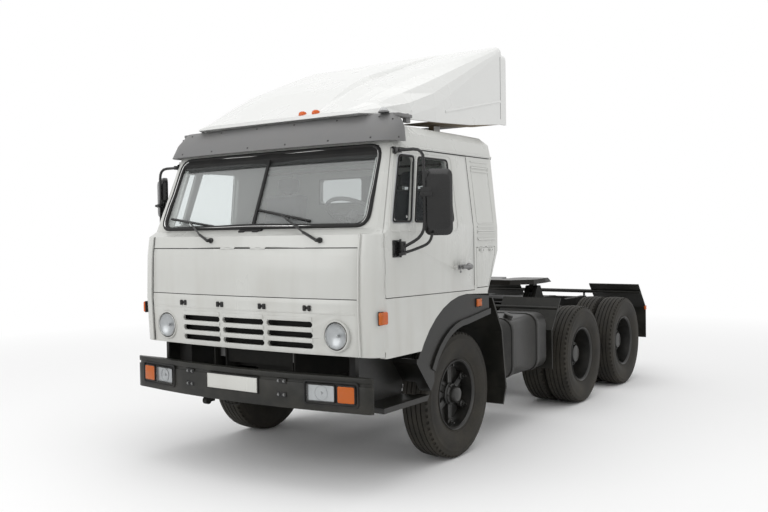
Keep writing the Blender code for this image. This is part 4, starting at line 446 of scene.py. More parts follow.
dressed = {
    "cab": ("cab_paint", "cab_roof cab_back cab_front front_panel grille_panel corner_deflector_left "
            "corner_deflector_right cab_side_left cab_side_right door_left door_right locker_lid_left "
            "locker_lid_right"),
    "fairing": ("fairing_paint", "roof_fairing"),
    "visor": ("visor_paint", "sun_visor"),
    "flare": ("cab_paint", "arch_step_left arch_step_right"),
    "bumper": ("black_trim", "bumper bogie_mudguard_front bogie_mudguard_rear front_mudguards"),
    "mirror": ("black_trim", "mirror_left mirror_right"),
    "inside": ("inside_trim", "cab_floor dashboard"),
    "seat": ("seat_cloth", "seat_left seat_right bunk"),
    "glass": ("window", "door_glass_left door_glass_right"),
    "rearGlass": ("window", "rear_window_glass"),
    "screen": ("window", "windscreen"),
    "lens": ("lamp_clear", "headlamp_left headlamp_right bumper_lamp_left bumper_lamp_right"),
    "steel": ("chassis_paint", "frame battery_box silencer fifth_wheel_base"),
    "axle": ("cast_parts", "front_axle drive_axles bogie_springs powertrain steering_knuckle_left "
             "steering_knuckle_right track_rod"),
    "grease": ("cast_parts", "fifth_wheel_plate"),
    "tyre": ("tyre", "tyre_front_left tyre_front_right twin_wheel_mid_left twin_wheel_mid_right "
             "twin_wheel_rear_left twin_wheel_rear_right"),
    "hub": ("hub_paint", "hub_front_left hub_front_right"),
    "tank": ("tank_paint", "fuel_tank"),
}
lookOf = {}
for finish, (slot, nodes) in dressed.items():
    for node in nodes.split():
        lookOf[node] = (finish, slot)
        part = frame["nodes"][node]
        part.data.materials.clear()
        part.data.materials.append(finishes[finish])
print("nodes dressed", len(frame["nodes"]))


# tyres

tyreValues = {
    "height": 0.52205, "radius": 0.5218, "steps": 120,
    # radius and half width of the section, from the bead to the tread's edge
    "section": [(0.285, 0.084), (0.289, 0.093), (0.300, 0.097), (0.310, 0.0985), (0.313, 0.103), (0.322, 0.105),
                (0.345, 0.1165), (0.375, 0.1255), (0.405, 0.1298), (0.432, 0.1300), (0.455, 0.1275),
                (0.4595, 0.1288), (0.466, 0.1282), (0.470, 0.1250), (0.486, 0.1215), (0.498, 0.1175),
                (0.509, 0.1110), (0.5150, 0.1040)],
    "ribs": [(0.1040, 0.0700), (0.0600, 0.0270), (0.0170, 0.0)], "groove": 0.013, "crown": 0.0068,
    "edge": 0.104, "bead": (0.080, 0.281), "shoulder": (0.103, 0.1175), "slotTurn": 3.0, "slotDeep": 0.007,
}


def tyreShape(middle):
    values = tyreValues
    half = [(along, radius) for radius, along in values["section"]]
    for outer, inner in values["ribs"]:
        for place, edge in ((outer, True), (inner, False)):
            level = values["radius"] - values["crown"] * (place / values["edge"]) ** 2
            if edge and outer < 0.1:
                half.append((place + 0.002, level - values["groove"]))
            half.append((place, level))
            if not edge and inner > 0:
                half.append((place - 0.002, level - values["groove"]))
    profile = [(middle + along, radius) for along, radius in half]
    profile += [(middle - along, radius) for along, radius in reversed(half[:-1])]
    inside, radius = values["bead"]
    profile += [(middle - inside, radius), (middle + inside, radius), profile[0]]
    shape = turned(profile, "x", (0, 0, values["height"]), values["steps"])
    # slots across the shoulders, one on every second facet
    slots = []
    low, high = values["shoulder"]
    for face in shape.faces:
        centre = face.calc_center_median()
        up = centre.z - values["height"]
        turn = math.degrees(math.atan2(centre.y, up)) / values["slotTurn"]
        if math.hypot(centre.y, up) > 0.5 and low < abs(centre.x - middle) < high and int(round(turn + 0.5)) % 2:
            slots.append(face)
    bmesh.ops.inset_individual(shape, faces=slots, thickness=0.0025, depth=-values["slotDeep"], use_even_offset=True)
    return shape


def makeTyre(name, body, middle, place, side, *replaced):
    shape = sided(moved(tyreShape(middle), (0, place, 0)), side)
    return done(name, shape, body, "tyre", "tyre", *replaced, crease=40)


# front wheels: rim, six-armed spider with clamps, drum and domed cap

frontWheel = {
    "middle": 1.035, "rimRadius": 0.2845, "rimHalf": 0.094, "spiderX": 1.040, "armHalf": 0.030,
    "armIn": 0.075, "armOut": 0.243, "armDepth": 0.052, "clampAt": 0.2405, "capX": 1.152, "drumRadius": 0.205,
    # (along the axle, radius), measured from the rim's inner and outer edges, the spider, the cap and the drum
    "rimInner": [(0, 0), (-0.010, 0.004), (-0.013, -0.002), (-0.008, -0.010), (0.006, -0.014)],
    "rimOuter": [(-0.114, -0.018), (-0.050, -0.018), (-0.030, -0.012), (-0.012, -0.011), (-0.002, -0.008),
                 (0.006, -0.001), (0.010, 0.004), (0.006, 0.007), (-0.004, 0.002), (-0.02, -0.002)],
    "lock": [(-0.012, -0.011), (-0.006, -0.016), (0.002, -0.011), (-0.002, -0.006)],
    "hub": [(0.030, 0.092), (0.036, 0.086), (0.048, 0.082), (0.052, 0.074), (0.058, 0.070), (0.070, 0.068),
            (0.094, 0.062), (0.104, 0.054)],
    "cap": [(-0.002, 0.034), (0, 0.018), (0, 0)],
    "drum": [(0.940, -0.004), (0.944, 0), (0.960, 0), (0.962, 0.006), (0.968, 0.006), (0.970, 0), (1.006, -0.004),
             (1.012, -0.02)],
}


def makeFrontWheel(name, side):
    v = frontWheel
    centre = (0, 0, tyreValues["height"])
    m, r, h = v["middle"], v["rimRadius"], v["rimHalf"]
    rim = turned(shifted(v["rimInner"], m - h, r) + shifted(v["rimOuter"], m + h, r) + [(m - h, r)], "x", centre, 72)
    lock = turned(shifted(v["lock"], m + h, r), "x", centre, 72)
    # one arm: a tapered bar with a sunk channel along its face
    z = tyreValues["height"]
    s = v["spiderX"]
    arm = bmesh.new()
    bmesh.ops.create_cube(arm, size=1.0)
    bmesh.ops.scale(arm, verts=arm.verts, vec=(v["armDepth"], v["armHalf"] * 2, v["armOut"] - v["armIn"]))
    bmesh.ops.translate(arm, verts=arm.verts, vec=(s, 0, z + (v["armIn"] + v["armOut"]) / 2))
    for vert in arm.verts:
        if vert.co.z > z + 0.2:
            vert.co.y *= 0.86
            vert.co.x -= 0.004 if vert.co.x > s else 0.0
    front = [face for face in arm.faces if face.normal.x > 0.9]
    bmesh.ops.inset_region(arm, faces=front, thickness=0.009, use_even_offset=True)
    bmesh.ops.translate(arm, verts=list({vert for face in front for vert in face.verts}), vec=(-0.012, 0, 0))
    softened(arm, 0.003, 2, 40.0)
    arms = around(arm, 6, "X", centre)
    clamp = gather(
        turned([(s - 0.02, 0), (s - 0.02, 0.034), (s + 0.022, 0.032), (s + 0.030, 0.026), (s + 0.030, 0)],
               "x", (0, 0, z + v["clampAt"]), 20),
        slab((s + 0.006, s + 0.026), (-0.024, 0.024), (z + v["clampAt"], z + r - 0.014), 0.004),
        bolt(0.0165, 0.034, "x", (s + 0.030, 0, z + v["clampAt"])))
    clamps = around(clamp, 6, "X", centre)
    web = turned(shifted([(-0.022, v["armIn"]), (-0.022, 0.243), (-0.012, 0.243), (-0.010, 0.12), (0.004, 0.098),
                          (0.020, 0.090)], s), "x", centre, 48)
    hub = turned([(0.955, 0.0435), (0.955, 0.080), (0.965, 0.086)] + shifted(v["hub"], s)
                 + shifted(v["cap"], v["capX"]), "x", centre, 40)
    studs = around(bolt(0.009, 0.012, "x", (s + 0.046, 0, z + 0.078)), 6, "X", centre, 30)
    drum = turned([(0.940, 0.14)] + shifted(v["drum"], 0, v["drumRadius"]) + [(1.014, 0.10)], "x", centre, 48)
    shape = sided(gather(rim, lock, arms, clamps, web, hub, studs, drum), side)
    return done("rim_" + name, shape, "front_wheel_" + name, "hub", "hub_paint", "hub_front_" + name, crease=30)


# twin wheels: two tyres on deep rims, with the hub and drum far in

twinWheel = {
    "outer": 1.045, "inner": 0.772, "disc": 0.905, "hubEnd": 1.080, "rimRadius": 0.2835, "rimHalf": 0.094,
    # (along the axle, radius), measured from the rim's inner edge, the disc, the rim's outer edge and the hub's end
    "rimInner": [(-0.008, 0.005), (-0.012, -0.002), (0, -0.016), (0.05, -0.020)],
    "rimDisc": [(-0.02, -0.022), (0.03, -0.022)],
    "rimOuter": [(-0.060, -0.019), (-0.035, -0.012), (-0.010, -0.011), (0.002, -0.007), (0.010, 0.003), (0.006, 0.007),
                 (-0.004, 0.002), (-0.02, -0.003)],
    "lock": [(-0.014, -0.011), (-0.008, -0.017), (0, -0.012), (-0.004, -0.006)],
    "hub": [(-0.06, 0.118), (-0.052, 0.128), (-0.036, 0.128), (-0.030, 0.096), (-0.004, 0.088), (0, 0.076), (0, 0)],
}


def makeTwinWheel(row, place, name, side):
    v = twinWheel
    body = row + "_wheels_" + name
    node = "twin_wheel_" + row + "_" + name
    z = tyreValues["height"]
    centre = (0, place, z)
    for which in ("outer", "inner"):
        makeTyre("tyre_%s_%s_%s" % (row, name, which), body, v[which], place, side, node)
    r, s = v["rimRadius"], v["disc"]
    a, b = v["outer"] + v["rimHalf"], v["inner"] - v["rimHalf"]
    rim = turned(shifted(v["rimInner"], b, r) + shifted(v["rimDisc"], s, r) + shifted(v["rimOuter"], a, r)
                 + [(b + 0.02, r - 0.003), (b, r)], "x", centre, 72)
    lock = turned(shifted(v["lock"], a, r), "x", centre, 72)
    arm = slab((s - 0.026, s + 0.026), (place - 0.030, place + 0.030), (z + 0.10, z + 0.240), 0.005)
    clamp = gather(
        turned([(s - 0.02, 0), (s - 0.02, 0.034), (s + 0.026, 0.030), (s + 0.030, 0)], "x", (0, place, z + 0.235), 16),
        bolt(0.0165, 0.034, "x", (s + 0.030, place, z + 0.235)))
    arms = around(gather(arm, clamp), 6, "X", centre, 15)
    hub = turned([(0.701, 0.0565), (0.701, 0.13), (0.720, 0.150), (s + 0.030, 0.150), (s + 0.036, 0.135)]
                 + shifted(v["hub"], v["hubEnd"]), "x", centre, 40)
    nuts = around(bolt(0.010, 0.014, "x", (v["hubEnd"] - 0.036, place, z + 0.112)), 10, "X", centre)
    drum = turned([(0.702, 0.12), (0.702, 0.208), (0.706, 0.2135), (0.79, 0.2135), (0.80, 0.207), (s - 0.02, 0.200),
                   (s - 0.012, 0.18), (s - 0.012, 0.14)], "x", centre, 48)
    shape = sided(gather(rim, lock, arms, hub, nuts, drum), side)
    done("rim_" + row + "_" + name, shape, body, "hub", "hub_paint", node, crease=30)


for name, side in sides:
    tyre = "tyre_front_" + name
    makeTyre(tyre + "_tread", "front_wheel_" + name, frontWheel["middle"], 0, side, tyre)
    makeFrontWheel(name, side)
    makeTwinWheel("mid", 2.70, name, side)
    makeTwinWheel("rear", 4.03, name, side)
print("wheels")


# places on the nodes' skins, and outlines

surfaces = {}


def touch(node, start, toward):  # where a straight line meets a node, and the way its skin faces there
    if node not in surfaces:
        shape = bmesh.new()
        shape.from_mesh(frame["nodes"][node].data)
        bmesh.ops.translate(shape, verts=shape.verts, vec=(0, -axleY, 0))
        surfaces[node] = BVHTree.FromBMesh(shape)
        shape.free()
    return surfaces[node].ray_cast(Vector(start), Vector(toward))[:2]


def frontAt(node, x, z):
    return touch(node, (x, -4, z), (0, 1, 0))[0]


def roundedLoop(outline, radius, steps=5):
    count = len(outline)
    loop = []
    for place in range(count):
        here, before, after = (Vector(outline[(place + shift) % count]) for shift in (0, -1, 1))
        start = here + (before - here).normalized() * radius
        end = here + (after - here).normalized() * radius
        for step in range(steps + 1):
            share = step / steps
            loop.append(start.lerp(here, share).lerp(here.lerp(end, share), share))
    return loop


def spread(loop, longest):  # more points on the long stretches
    rows = []
    for here, after in zip(loop, loop[1:] + loop[:1]):
        count = max(1, math.ceil((after - here).length / longest))
        rows += [here.lerp(after, step / count) for step in range(count)]
    return rows


def evenly(low, high, count):
    return [low + (high - low) * step / (count - 1) for step in range(count)]


def corners(x0, x1, z0, z1, inset=0.0):  # of an upright rectangle
    return [(x0 + inset, z0 + inset), (x1 - inset, z0 + inset), (x1 - inset, z1 - inset), (x0 + inset, z1 - inset)]


# copies of the body panels with softened edges

bumperFace, plateRoom = -1.30, 0.013
softEdges = {
    "front_panel": 0.004, "grille_panel": 0.002, "corner_deflector_left": 0.004, "corner_deflector_right": 0.004,
    "door_left": 0.0025, "door_right": 0.0025, "locker_lid_left": 0.0025, "locker_lid_right": 0.0025,
    "sun_visor": 0.006, "bumper": 0.006, "fuel_tank": 0.003, "battery_box": 0.006,
    "mirror_left": 0.004, "mirror_right": 0.004,
}


def softenNode(node, width):
    finish, slot = lookOf[node]
    shape = softened(cadShape(node), width, 2, 30.0)
    if node == "bumper":  # its face stands back, so that plate and bolts stay within the solids' box
        for vert in shape.verts:
            if vert.co.y < bumperFace:
                vert.co.y += plateRoom
    done(node + "_soft", shape, bodyOf[node], finish, slot, node, crease=50, repair=False)


for node, width in softEdges.items():
    softenNode(node, width)
print("softened panels")


# windscreen seal, its bright strip and the middle bar

screen = {
    "corners": [(-1.085, 1.925), (1.085, 1.925), (1.055, 2.520), (-1.055, 2.520)], "corner": 0.10,
    "middleZ": 2.222, "barEnds": (1.95, 2.50), "longest": 0.12,
    # radius, how far inside the outline, how far behind the skin
    "seal": (0.015, 0.0, -0.002), "lip": (0.013, 0.019, 0.006), "bright": (0.0036, 0.012, -0.0115),
    "bar": [(-0.016, 0), (-0.011, -0.014), (0.011, -0.014), (0.016, 0), (0.011, 0.006), (-0.011, 0.006)],
}


def makeScreenSeal():
    v = screen
    middle = Vector((0, v["middleZ"]))
    parts = {}
    outline = spread(roundedLoop(v["corners"], v["corner"]), v["longest"])
    skins = [frontAt("cab_front", p.x * 1.012, p.y + (0.012 if p.y > 2.22 else -0.012)).y for p in outline]
    for key in ("seal", "lip", "bright"):
        radius, inside, behind = v[key]
        rows = []
        for point, skin in zip(outline, skins):
            place = point + (middle - point).normalized() * inside
            rows.append((place.x, skin + behind, place.y))
        parts[key] = pipe(rows, radius, around=8 if key == "bright" else 12, closed=True)
    low, high = (frontAt("windscreen", 0, z) for z in v["barEnds"])
    step = (high - low).normalized()
    bar = plated(v["bar"], "z", 0, (high - low).length + 0.04)
    bmesh.ops.transform(bar, verts=bar.verts, matrix=Matrix.Translation(low - step * 0.02)
                        @ Vector((0, 0, 1)).rotation_difference(step).to_matrix().to_4x4())
    done("windscreen_seal", gather(parts["seal"], parts["lip"], bar), "cab", "rubber", "black_trim")
    done("windscreen_bright_strip", parts["bright"], "cab", "chrome", "black_trim")


def makeScreenClip():
    place = frontAt("cab_front", 0.0, 1.900)
    parts = [slab((-0.115, 0.115), (place.y - 0.016, place.y + 0.012), (1.896, 1.911), 0.004)]
    for x in (-0.085, 0.060):
        parts.append(slab((x - 0.030, x + 0.030), (place.y - 0.028, place.y + 0.010), (1.886, 1.905), 0.004))
    done("windscreen_clip", gather(*parts), "cab", "rubber", "black_trim")


makeScreenSeal()
makeScreenClip()


# wipers: pivot, sprung arm, blade on its bridge

wiperValues = [
    {"pivot": (-0.350, 1.828), "ends": ((-1.000, 2.014), (-0.450, 1.942))},
    {"pivot": (0.745, 1.822), "ends": ((0.020, 2.062), (0.560, 1.966))},
]


def makeWiper(number, values):
    base = frontAt("cab_front", *values["pivot"])
    first, last = (frontAt("windscreen", x, z) + Vector((0, -0.012, 0)) for x, z in values["ends"])

    def on(share, out=0.0):  # a place along the blade, stood off from it
        return first.lerp(last, share) + Vector((0, -out, 0))

    knob = base + Vector((0, -0.045, 0.0))
    elbow = knob.lerp(on(0.5), 0.32) + Vector((0, -0.030, 0))
    parts = [
        turned([(0, 0.022), (-0.012, 0.022), (-0.016, 0.014), (-0.045, 0.013), (-0.055, 0.010), (-0.056, 0)],
               "y", base, 16),
        pipe([knob, elbow], 0.0110, around=8),
        pipe([elbow, on(0.5, 0.022)], 0.0080, around=8),
        pipe([on(0.22, 0.012), on(0.5, 0.024), on(0.78, 0.012)], 0.0075, 0.05, around=8),
        pipe([on(0.06), on(0.22, 0.014), on(0.40)], 0.0060, 0.03, around=8),
        pipe([on(0.60), on(0.78, 0.014), on(0.94)], 0.0060, 0.03, around=8),
        pipe([first, last], 0.0110, around=8),
    ]
    done("wiper_%d" % number, gather(*parts), "cab", "mirror", "black_trim", crease=40)


for number, values in enumerate(wiperValues):
    makeWiper(number, values)


# the lower front: clips, crease strip, headlamps

frontStrip = {
    "clips": (-0.662, -0.232, 0.212, 0.642), "clipZ": 1.327, "creaseZ": 1.290, "creaseHalf": 1.045,
    "seamHalf": 1.066, "seams": ((1.765, 1.757), (1.396, 1.404)),  # where the seal lies, where the skin is read
    "endX": 1.0725, "ends": (1.000, 1.860),
}


def makeClip(number, x):
    z = frontStrip["clipZ"]
    y = frontAt("grille_panel", x, z).y
    parts = [slab((x - 0.014, x + 0.014), (y - 0.006, y + 0.004), (z - 0.010, z + 0.012), 0.003)]
    for middle in (x - 0.023, x + 0.023):
        parts.append(slab((middle - 0.013, middle + 0.013), (y - 0.012, y + 0.002), (z - 0.022, z + 0.020), 0.005))
    done("front_clip_%d" % number, gather(*parts), "cab", "rubber", "black_trim")


for number, x in enumerate(frontStrip["clips"]):
    makeClip(number, x)


def along(node, half, z, at, out):  # a line across a panel, laid at z with the skin read at another height
    return [(x, frontAt(node, x, at).y + out, z) for x in evenly(-half, half, 25)]


def makeCrease():
    v = frontStrip
    rows = along("grille_panel", v["creaseHalf"], v["creaseZ"], v["creaseZ"], 0.001)
    done("grille_panel_crease", pipe(rows, 0.0055, around=8), "cab", "cab", "cab_paint")


makeCrease()


def makePanelSealsAndShade():  # dark seals in the seams over, under and beside the front panel; the ones beside it are also painted shade, dark where the deflector lip stands proud
    v = frontStrip
    parts = [pipe(along("front_panel", v["seamHalf"], z, at, 0.0045), 0.0052, around=8) for z, at in v["seams"]]
    # beside the panel the dark strip is painted shade as well as a seal, for the shaded inner side of the proud
    # deflector lip
    for side in (-1, 1):
        rows = []
        for z in evenly(*v["ends"], 15):
            node = "grille_panel" if z < 1.396 else "front_panel" if z < 1.76 else "cab_front"
            hit = frontAt(node, 1.060 * side, z)
            if hit:
                rows.append((v["endX"] * side, hit.y + 0.003, z))
        parts.append(pipe(rows, 0.0042, around=8))
    done("front_panel_seals_and_painted_shade", gather(*parts), "cab", "rubber", "black_trim")


makePanelSealsAndShade()


lampValues = {
    "centre": (0.888, -1.311, 1.130),
    # finish, slot, facets round and profile as (back from the front, radius)
    "bezel": ("cab", "cab_paint", 56, [(0.038, 0.108), (0.038, 0.118), (0.012, 0.118), (0.004, 0.115), (0.000, 0.109),
                                       (0.004, 0.104), (0.014, 0.102), (0.030, 0.101), (0.038, 0.108)]),
    "gasket": ("rubber", "black_trim", 56, [(0.020, 0.1025), (0.008, 0.1025), (0.008, 0.0980), (0.020, 0.0980),
                                            (0.020, 0.1025)]),
    "ring": ("chrome", "lamp_clear", 56, [(0.016, 0.0985), (0.006, 0.0975), (0.001, 0.0945), (0.006, 0.0915),
                                          (0.018, 0.0915), (0.016, 0.0985)]),
    "bowl": ("reflector", "lamp_clear", 48, [(0.010, 0.0945), (0.022, 0.080), (0.032, 0.055), (0.038, 0.022),
                                             (0.038, 0.0)]),
    "glass": ("lens", "lamp_clear", 48, [(0.012, 0.0955), (0.004, 0.0945), (-0.004, 0.088), (-0.011, 0.068),
                                         (-0.016, 0.040), (-0.018, 0.0)]),
    "bulb": [(0.037, 0.012), (0.020, 0.012), (0.014, 0.009), (0.012, 0)],
}


def makeHeadlamp(name, side):
    v = lampValues
    for key in ("bezel", "gasket", "ring", "bowl", "glass"):
        finish, slot, steps, profile = v[key]
        shape = turned(profile, "y", v["centre"], steps)
        if key == "bowl":
            shape = gather(shape, turned(v["bulb"], "y", v["centre"], 16))
        done("headlamp_%s_%s" % (key, name), sided(shape, side), "cab", finish, slot, "headlamp_" + name)


# bumper: lamp pairs in their frames, plate, bolts

bumperValues = {
    "clear": (0.705, 0.935), "amber": (0.957, 1.098), "heights": (0.668, 0.792), "frame": (0.685, 1.118, 0.646, 0.814),
    "dish": [(0.000, 0.052), (0.004, 0.050), (0.007, 0.030), (0.007, 0.012), (-0.004, 0.010), (-0.005, 0)],
    "plate": (-0.260, 0.260, 0.690, 0.800), "bolts": (0.505, 0.455), "boltZ": (0.695, 0.795),
}


def bumperAt(x, z):
    return frontAt("bumper", x, z).y + plateRoom


def makeBumperLamp(name, side):
    v = bumperValues
    x0, x1, z0, z1 = v["frame"]
    y = bumperAt(x0 + 0.01, 0.63)
    lean = (bumperAt(x1 - 0.01, 0.73) - y) / (x1 - x0 - 0.02)

    def leaned(shape):  # follows the bumper's bow
        for vert in shape.verts:
            vert.co.y += y + (vert.co.x - x0) * lean
        return shape

    def rim(loop, out, radius, around):
        return pipe([(p.x, y - out + (p.x - x0) * lean, p.y) for p in loop], radius, around=around, closed=True)

    low, top = v["heights"]
    back = leaned(slab((x0 + 0.004, x1 - 0.004), (0.004, 0.012), (z0 + 0.004, z1 - 0.004)))
    frames = [rim(spread(roundedLoop(corners(*v["frame"]), 0.025), 0.1), 0.003, 0.009, 10), back]
    lenses = []
    for a, b in (v["clear"], v["amber"]):
        frames.append(rim(roundedLoop(corners(a, b, low, top), 0.016), 0.008, 0.0055, 8))
        outline = roundedLoop(corners(a, b, low, top, 0.003), 0.014)
        lenses.append(leaned(softened(plated(outline, "y", -0.014, 0.008), 0.004, 3)))
    a, b = v["clear"]
    mirror = gather(leaned(slab((a + 0.006, b - 0.006), (0.0005, 0.0035), (low + 0.006, top - 0.006))),
                    leaned(turned(v["dish"], "y", ((a + b) / 2, -0.0035, (low + top) / 2), 28)))
    for key, shape, finish, slot in (
            ("frame", gather(*frames), "rubber", "black_trim"), ("mirror", mirror, "reflector", "lamp_clear"),
            ("clear", lenses[0], "lens", "lamp_clear"), ("amber", lenses[1], "amber", "lamp_clear")):
        done("bumper_lamp_%s_%s" % (key, name), sided(shape, side), "chassis", finish, slot, "bumper_lamp_" + name)


def makePlate():
    x0, x1, z0, z1 = bumperValues["plate"]
    y = bumperAt(0, 0.74)
    shape = slab((x0, x1), (y - 0.010, y - 0.004), (z0, z1), 0.0025)
    loop = roundedLoop(corners(x0, x1, z0, z1, 0.004), 0.01)
    rim = pipe([(p.x, y - 0.010, p.y) for p in loop], 0.0022, around=6, closed=True)
    done("number_plate", gather(shape, rim), "chassis", "plate", "black_trim")
    holder = slab((x0 - 0.006, x1 + 0.006), (y - 0.004, y + 0.004), (z0 - 0.008, z1 + 0.008), 0.003)
    done("number_plate_holder", holder, "chassis", "rubber", "black_trim")


def makeBumperBolts():
    v = bumperValues
    bolts, plates = [], []
    for side in (-1, 1):
        x = side * sum(v["bolts"]) / 2
        for z in v["boltZ"]:
            y = bumperAt(x, z)
            plates.append(slab((x - 0.046, x + 0.046), (y - 0.0045, y + 0.004), (z - 0.019, z + 0.019), 0.004))
            bolts += [bolt(0.0095, -0.008, "y", (side * at, bumperAt(side * at, z) - 0.004, z)) for at in v["bolts"]]
    done("bumper_bolts", gather(*bolts), "chassis", "handle", "black_trim")
    done("bumper_bolt_plates", gather(*plates), "chassis", "rubber", "black_trim")


for name, side in sides:
    makeHeadlamp(name, side)
    makeBumperLamp(name, side)
makePlate()
makeBumperBolts()
print("front")


# doors: seals and bright frames round the panes, divider, pressed recess, handle

doorValues = {
    "quarter": [(-1.045, 1.955), (-0.820, 1.955), (-0.680, 2.435), (-0.862, 2.435)],
    "window": [(-0.755, 1.955), (-0.190, 1.955), (-0.190, 2.435), (-0.605, 2.435)],
    "corner": 0.032, "seal": 0.0085, "bright": 0.0035, "latch": (-0.845, 1.985, -0.015),
    "recess": [(-1.100, 1.880), (-0.120, 1.880), (-0.120, 2.472), (-0.905, 2.472)],
    "handle": (-0.205, -0.035, 1.585), "shutHeight": (1.42, 2.48),
    # (out from the skin, radius)
    "base": [(-0.003, 0.030), (0.006, 0.030), (0.012, 0.024), (0.030, 0.019), (0.036, 0.012), (0.037, 0)],
    "lock": [(0.003, 0.0105), (0.008, 0.0105), (0.009, 0.006), (0.007, 0)],
    "dish": [(0.0015, 0.046), (0.004, 0.044), (0.0045, 0.040), (0.001, 0.030), (0.001, 0)],
}


def onSide(node, y, z, out=0.0):  # a point of the left side's skin, stood off by out
    place, normal = touch(node, (3, y, z), (-1, 0, 0))
    return place + normal * out if place else Vector((1.235 - max(0, z - 1.9) * 0.12 + out, y, z))


def sideHoop(node, outline, corner, out, radius, facets=8, longest=0.12):  # a closed bar round an outline on the side
    flat = spread(roundedLoop(outline, corner), longest)
    return pipe([onSide(node, point.x, point.y, out) for point in flat], radius, around=facets, closed=True)


def grown(outline, by):  # moves the corners of an outline outwards from its middle
    middle = sum((Vector(corner) for corner in outline), Vector((0, 0))) / len(outline)
    return [(y + math.copysign(by, y - middle.x), z + math.copysign(by, z - middle.y)) for y, z in outline]


def makeDoorTrim(name, side):
    v = doorValues
    body, door = name + "_door", "door_left"
    seals = [sideHoop(door, grown(v[key], 0.006), v["corner"], 0.001, v["seal"], 10) for key in ("quarter", "window")]
    bright = sideHoop(door, grown(v["quarter"], 0.017), v["corner"], 0.002, v["bright"])
    divider = pipe([onSide(door, y, z, 0.001) for y, z in ((-0.7875, 1.945), (-0.640, 2.445))], 0.011, around=10)
    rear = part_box(door)[1].y - axleY - 0.009
    shut = pipe([onSide(door, rear, z, -0.0035) + Vector((0, 0.012, 0)) for z in evenly(*v["shutHeight"], 13)],
                0.0055, around=8)
    recess = sideHoop(door, v["recess"], 0.045, -0.001, 0.0065, 8, 0.08)
    # lever on its round base, with the lock below it
    y0, y1, z = v["handle"]
    skin = onSide(door, y1 - 0.08, z).x
    base = turned(shifted(v["base"], skin), "x", (0, y1, z), 28)
    route = [(skin + 0.030, y1, z), (skin + 0.043, y0 + 0.03, z + 0.002), (skin + 0.041, y0, z)]
    lever = pipe(route, 0.0125, 0.02, around=12)
    plate = slab((skin - 0.001, skin + 0.004), (y0 - 0.002, y1 + 0.012), (z - 0.019, z + 0.019), 0.0035, 3)
    lock = turned(shifted(v["lock"], skin), "x", (0, y0 + 0.028, z - 0.036), 18)
    dish = turned(shifted(v["dish"], skin), "x", (0, (y0 + y1) / 2 - 0.01, z + 0.012), 30)
    latch = turned([(0, 0.010), (0.004, 0.010), (0.007, 0.005), (0.007, 0)], "x", onSide(door, *v["latch"]), 14)
    for key, shape, rides, finish, slot in (
            ("door_shut_seal", shut, "cab", "rubber", "black_trim"),
            ("door_divider", divider, body, "cab", "cab_paint"),
            ("door_seals", gather(*seals), body, "rubber", "black_trim"),
            ("quarter_light_frame", bright, body, "reflector", "black_trim"),
            ("door_recess", recess, body, "cab", "cab_paint"),
            ("door_handle", gather(base, lever, plate, lock), body, "handle", "black_trim"),
            ("door_handle_dish", dish, body, "cab", "cab_paint"),
            ("quarter_light_latch", latch, body, "chrome", "black_trim")):
        done(key + "_" + name, sided(shape, side), rides, finish, slot)


# mirrors: clamp on the tube, lower stay, foot plates

mirrorValues = {
    "left": [(1.262, -1.030, 1.712), (1.340, -0.955, 1.742), (1.428, -0.868, 1.790), (1.440, -0.858, 1.862)],
    "right": [(1.262, -1.030, 1.712), (1.330, -0.960, 1.760), (1.404, -0.885, 1.860), (1.418, -0.872, 2.030)],
    "clampAt": (1.469, -0.815, 0), "clampTurn": 29, "nuts": ((-0.052, -0.080, 0.011), (-0.118, -0.076, 0.010)),
    "foot": (-1.000, 1.755), "top": (-0.895, 2.473),
    "socket": [(-0.002, 0), (-0.002, 0.030), (0.008, 0.028), (0.014, 0.018), (0.030, 0.016), (0.030, 0)],
}


def makeMirrorFittings(name, side):
    v = mirrorValues
    clamp = gather(slab((-0.128, -0.040), (-0.066, -0.028), (2.128, 2.160), 0.004), *[
        turned([(end, 0), (end, radius), (-0.066, radius), (-0.066, 0)], "y", (x, 0, 2.144), 6)
        for x, end, radius in v["nuts"]])
    turn = Matrix.Rotation(math.radians(v["clampTurn"]), 4, "Z")
    bmesh.ops.transform(clamp, matrix=Matrix.Translation(v["clampAt"]) @ turn, verts=clamp.verts)
    x = onSide("door_left", *v["foot"]).x
    plates = gather(
        slab((x - 0.001, x + 0.008), (-1.075, -0.985), (1.690, 1.815), 0.004),
        slab((x + 0.004, x + 0.034), (-1.018, -0.986), (1.700, 1.800), 0.005),
        pipe([(x + 0.024, -1.004, 1.690), (x + 0.024, -1.004, 1.822)], 0.009, around=10),
        *[bolt(0.009, 0.006, "x", (x + 0.007, -1.058, z)) for z in (1.795, 1.710)])
    upper = turned(shifted(v["socket"], onSide("door_left", *v["top"]).x), "x", (0, *v["top"]), 20)
    shape = gather(clamp, plates, upper, pipe(v[name], 0.0105, 0.05, around=12))
    done("mirror_fittings_" + name, sided(shape, side), name + "_door", "mirror", "black_trim")


# side of the cab: drip rail with a painted shadow strip under it, pressed panel, ribs, locker hinges, lips, side lamps

cabValues = {
    "rail": (-0.905, 0.605), "railZ": 2.512, "roofStarts": -0.85,
    "panel": [(0.205, 1.935), (0.500, 1.935), (0.500, 2.420), (0.205, 2.420)],
    "ribs": (2.455, 1.872, 1.800), "ribEnds": (0.205, 0.500), "hingeAt": (0.265, 0.430), "hingeZ": (1.700, 1.722),
    "screw": [(0.003, 0.0055), (0.0055, 0.004), (0.006, 0)], "lip": (0.990, 1.862),
}


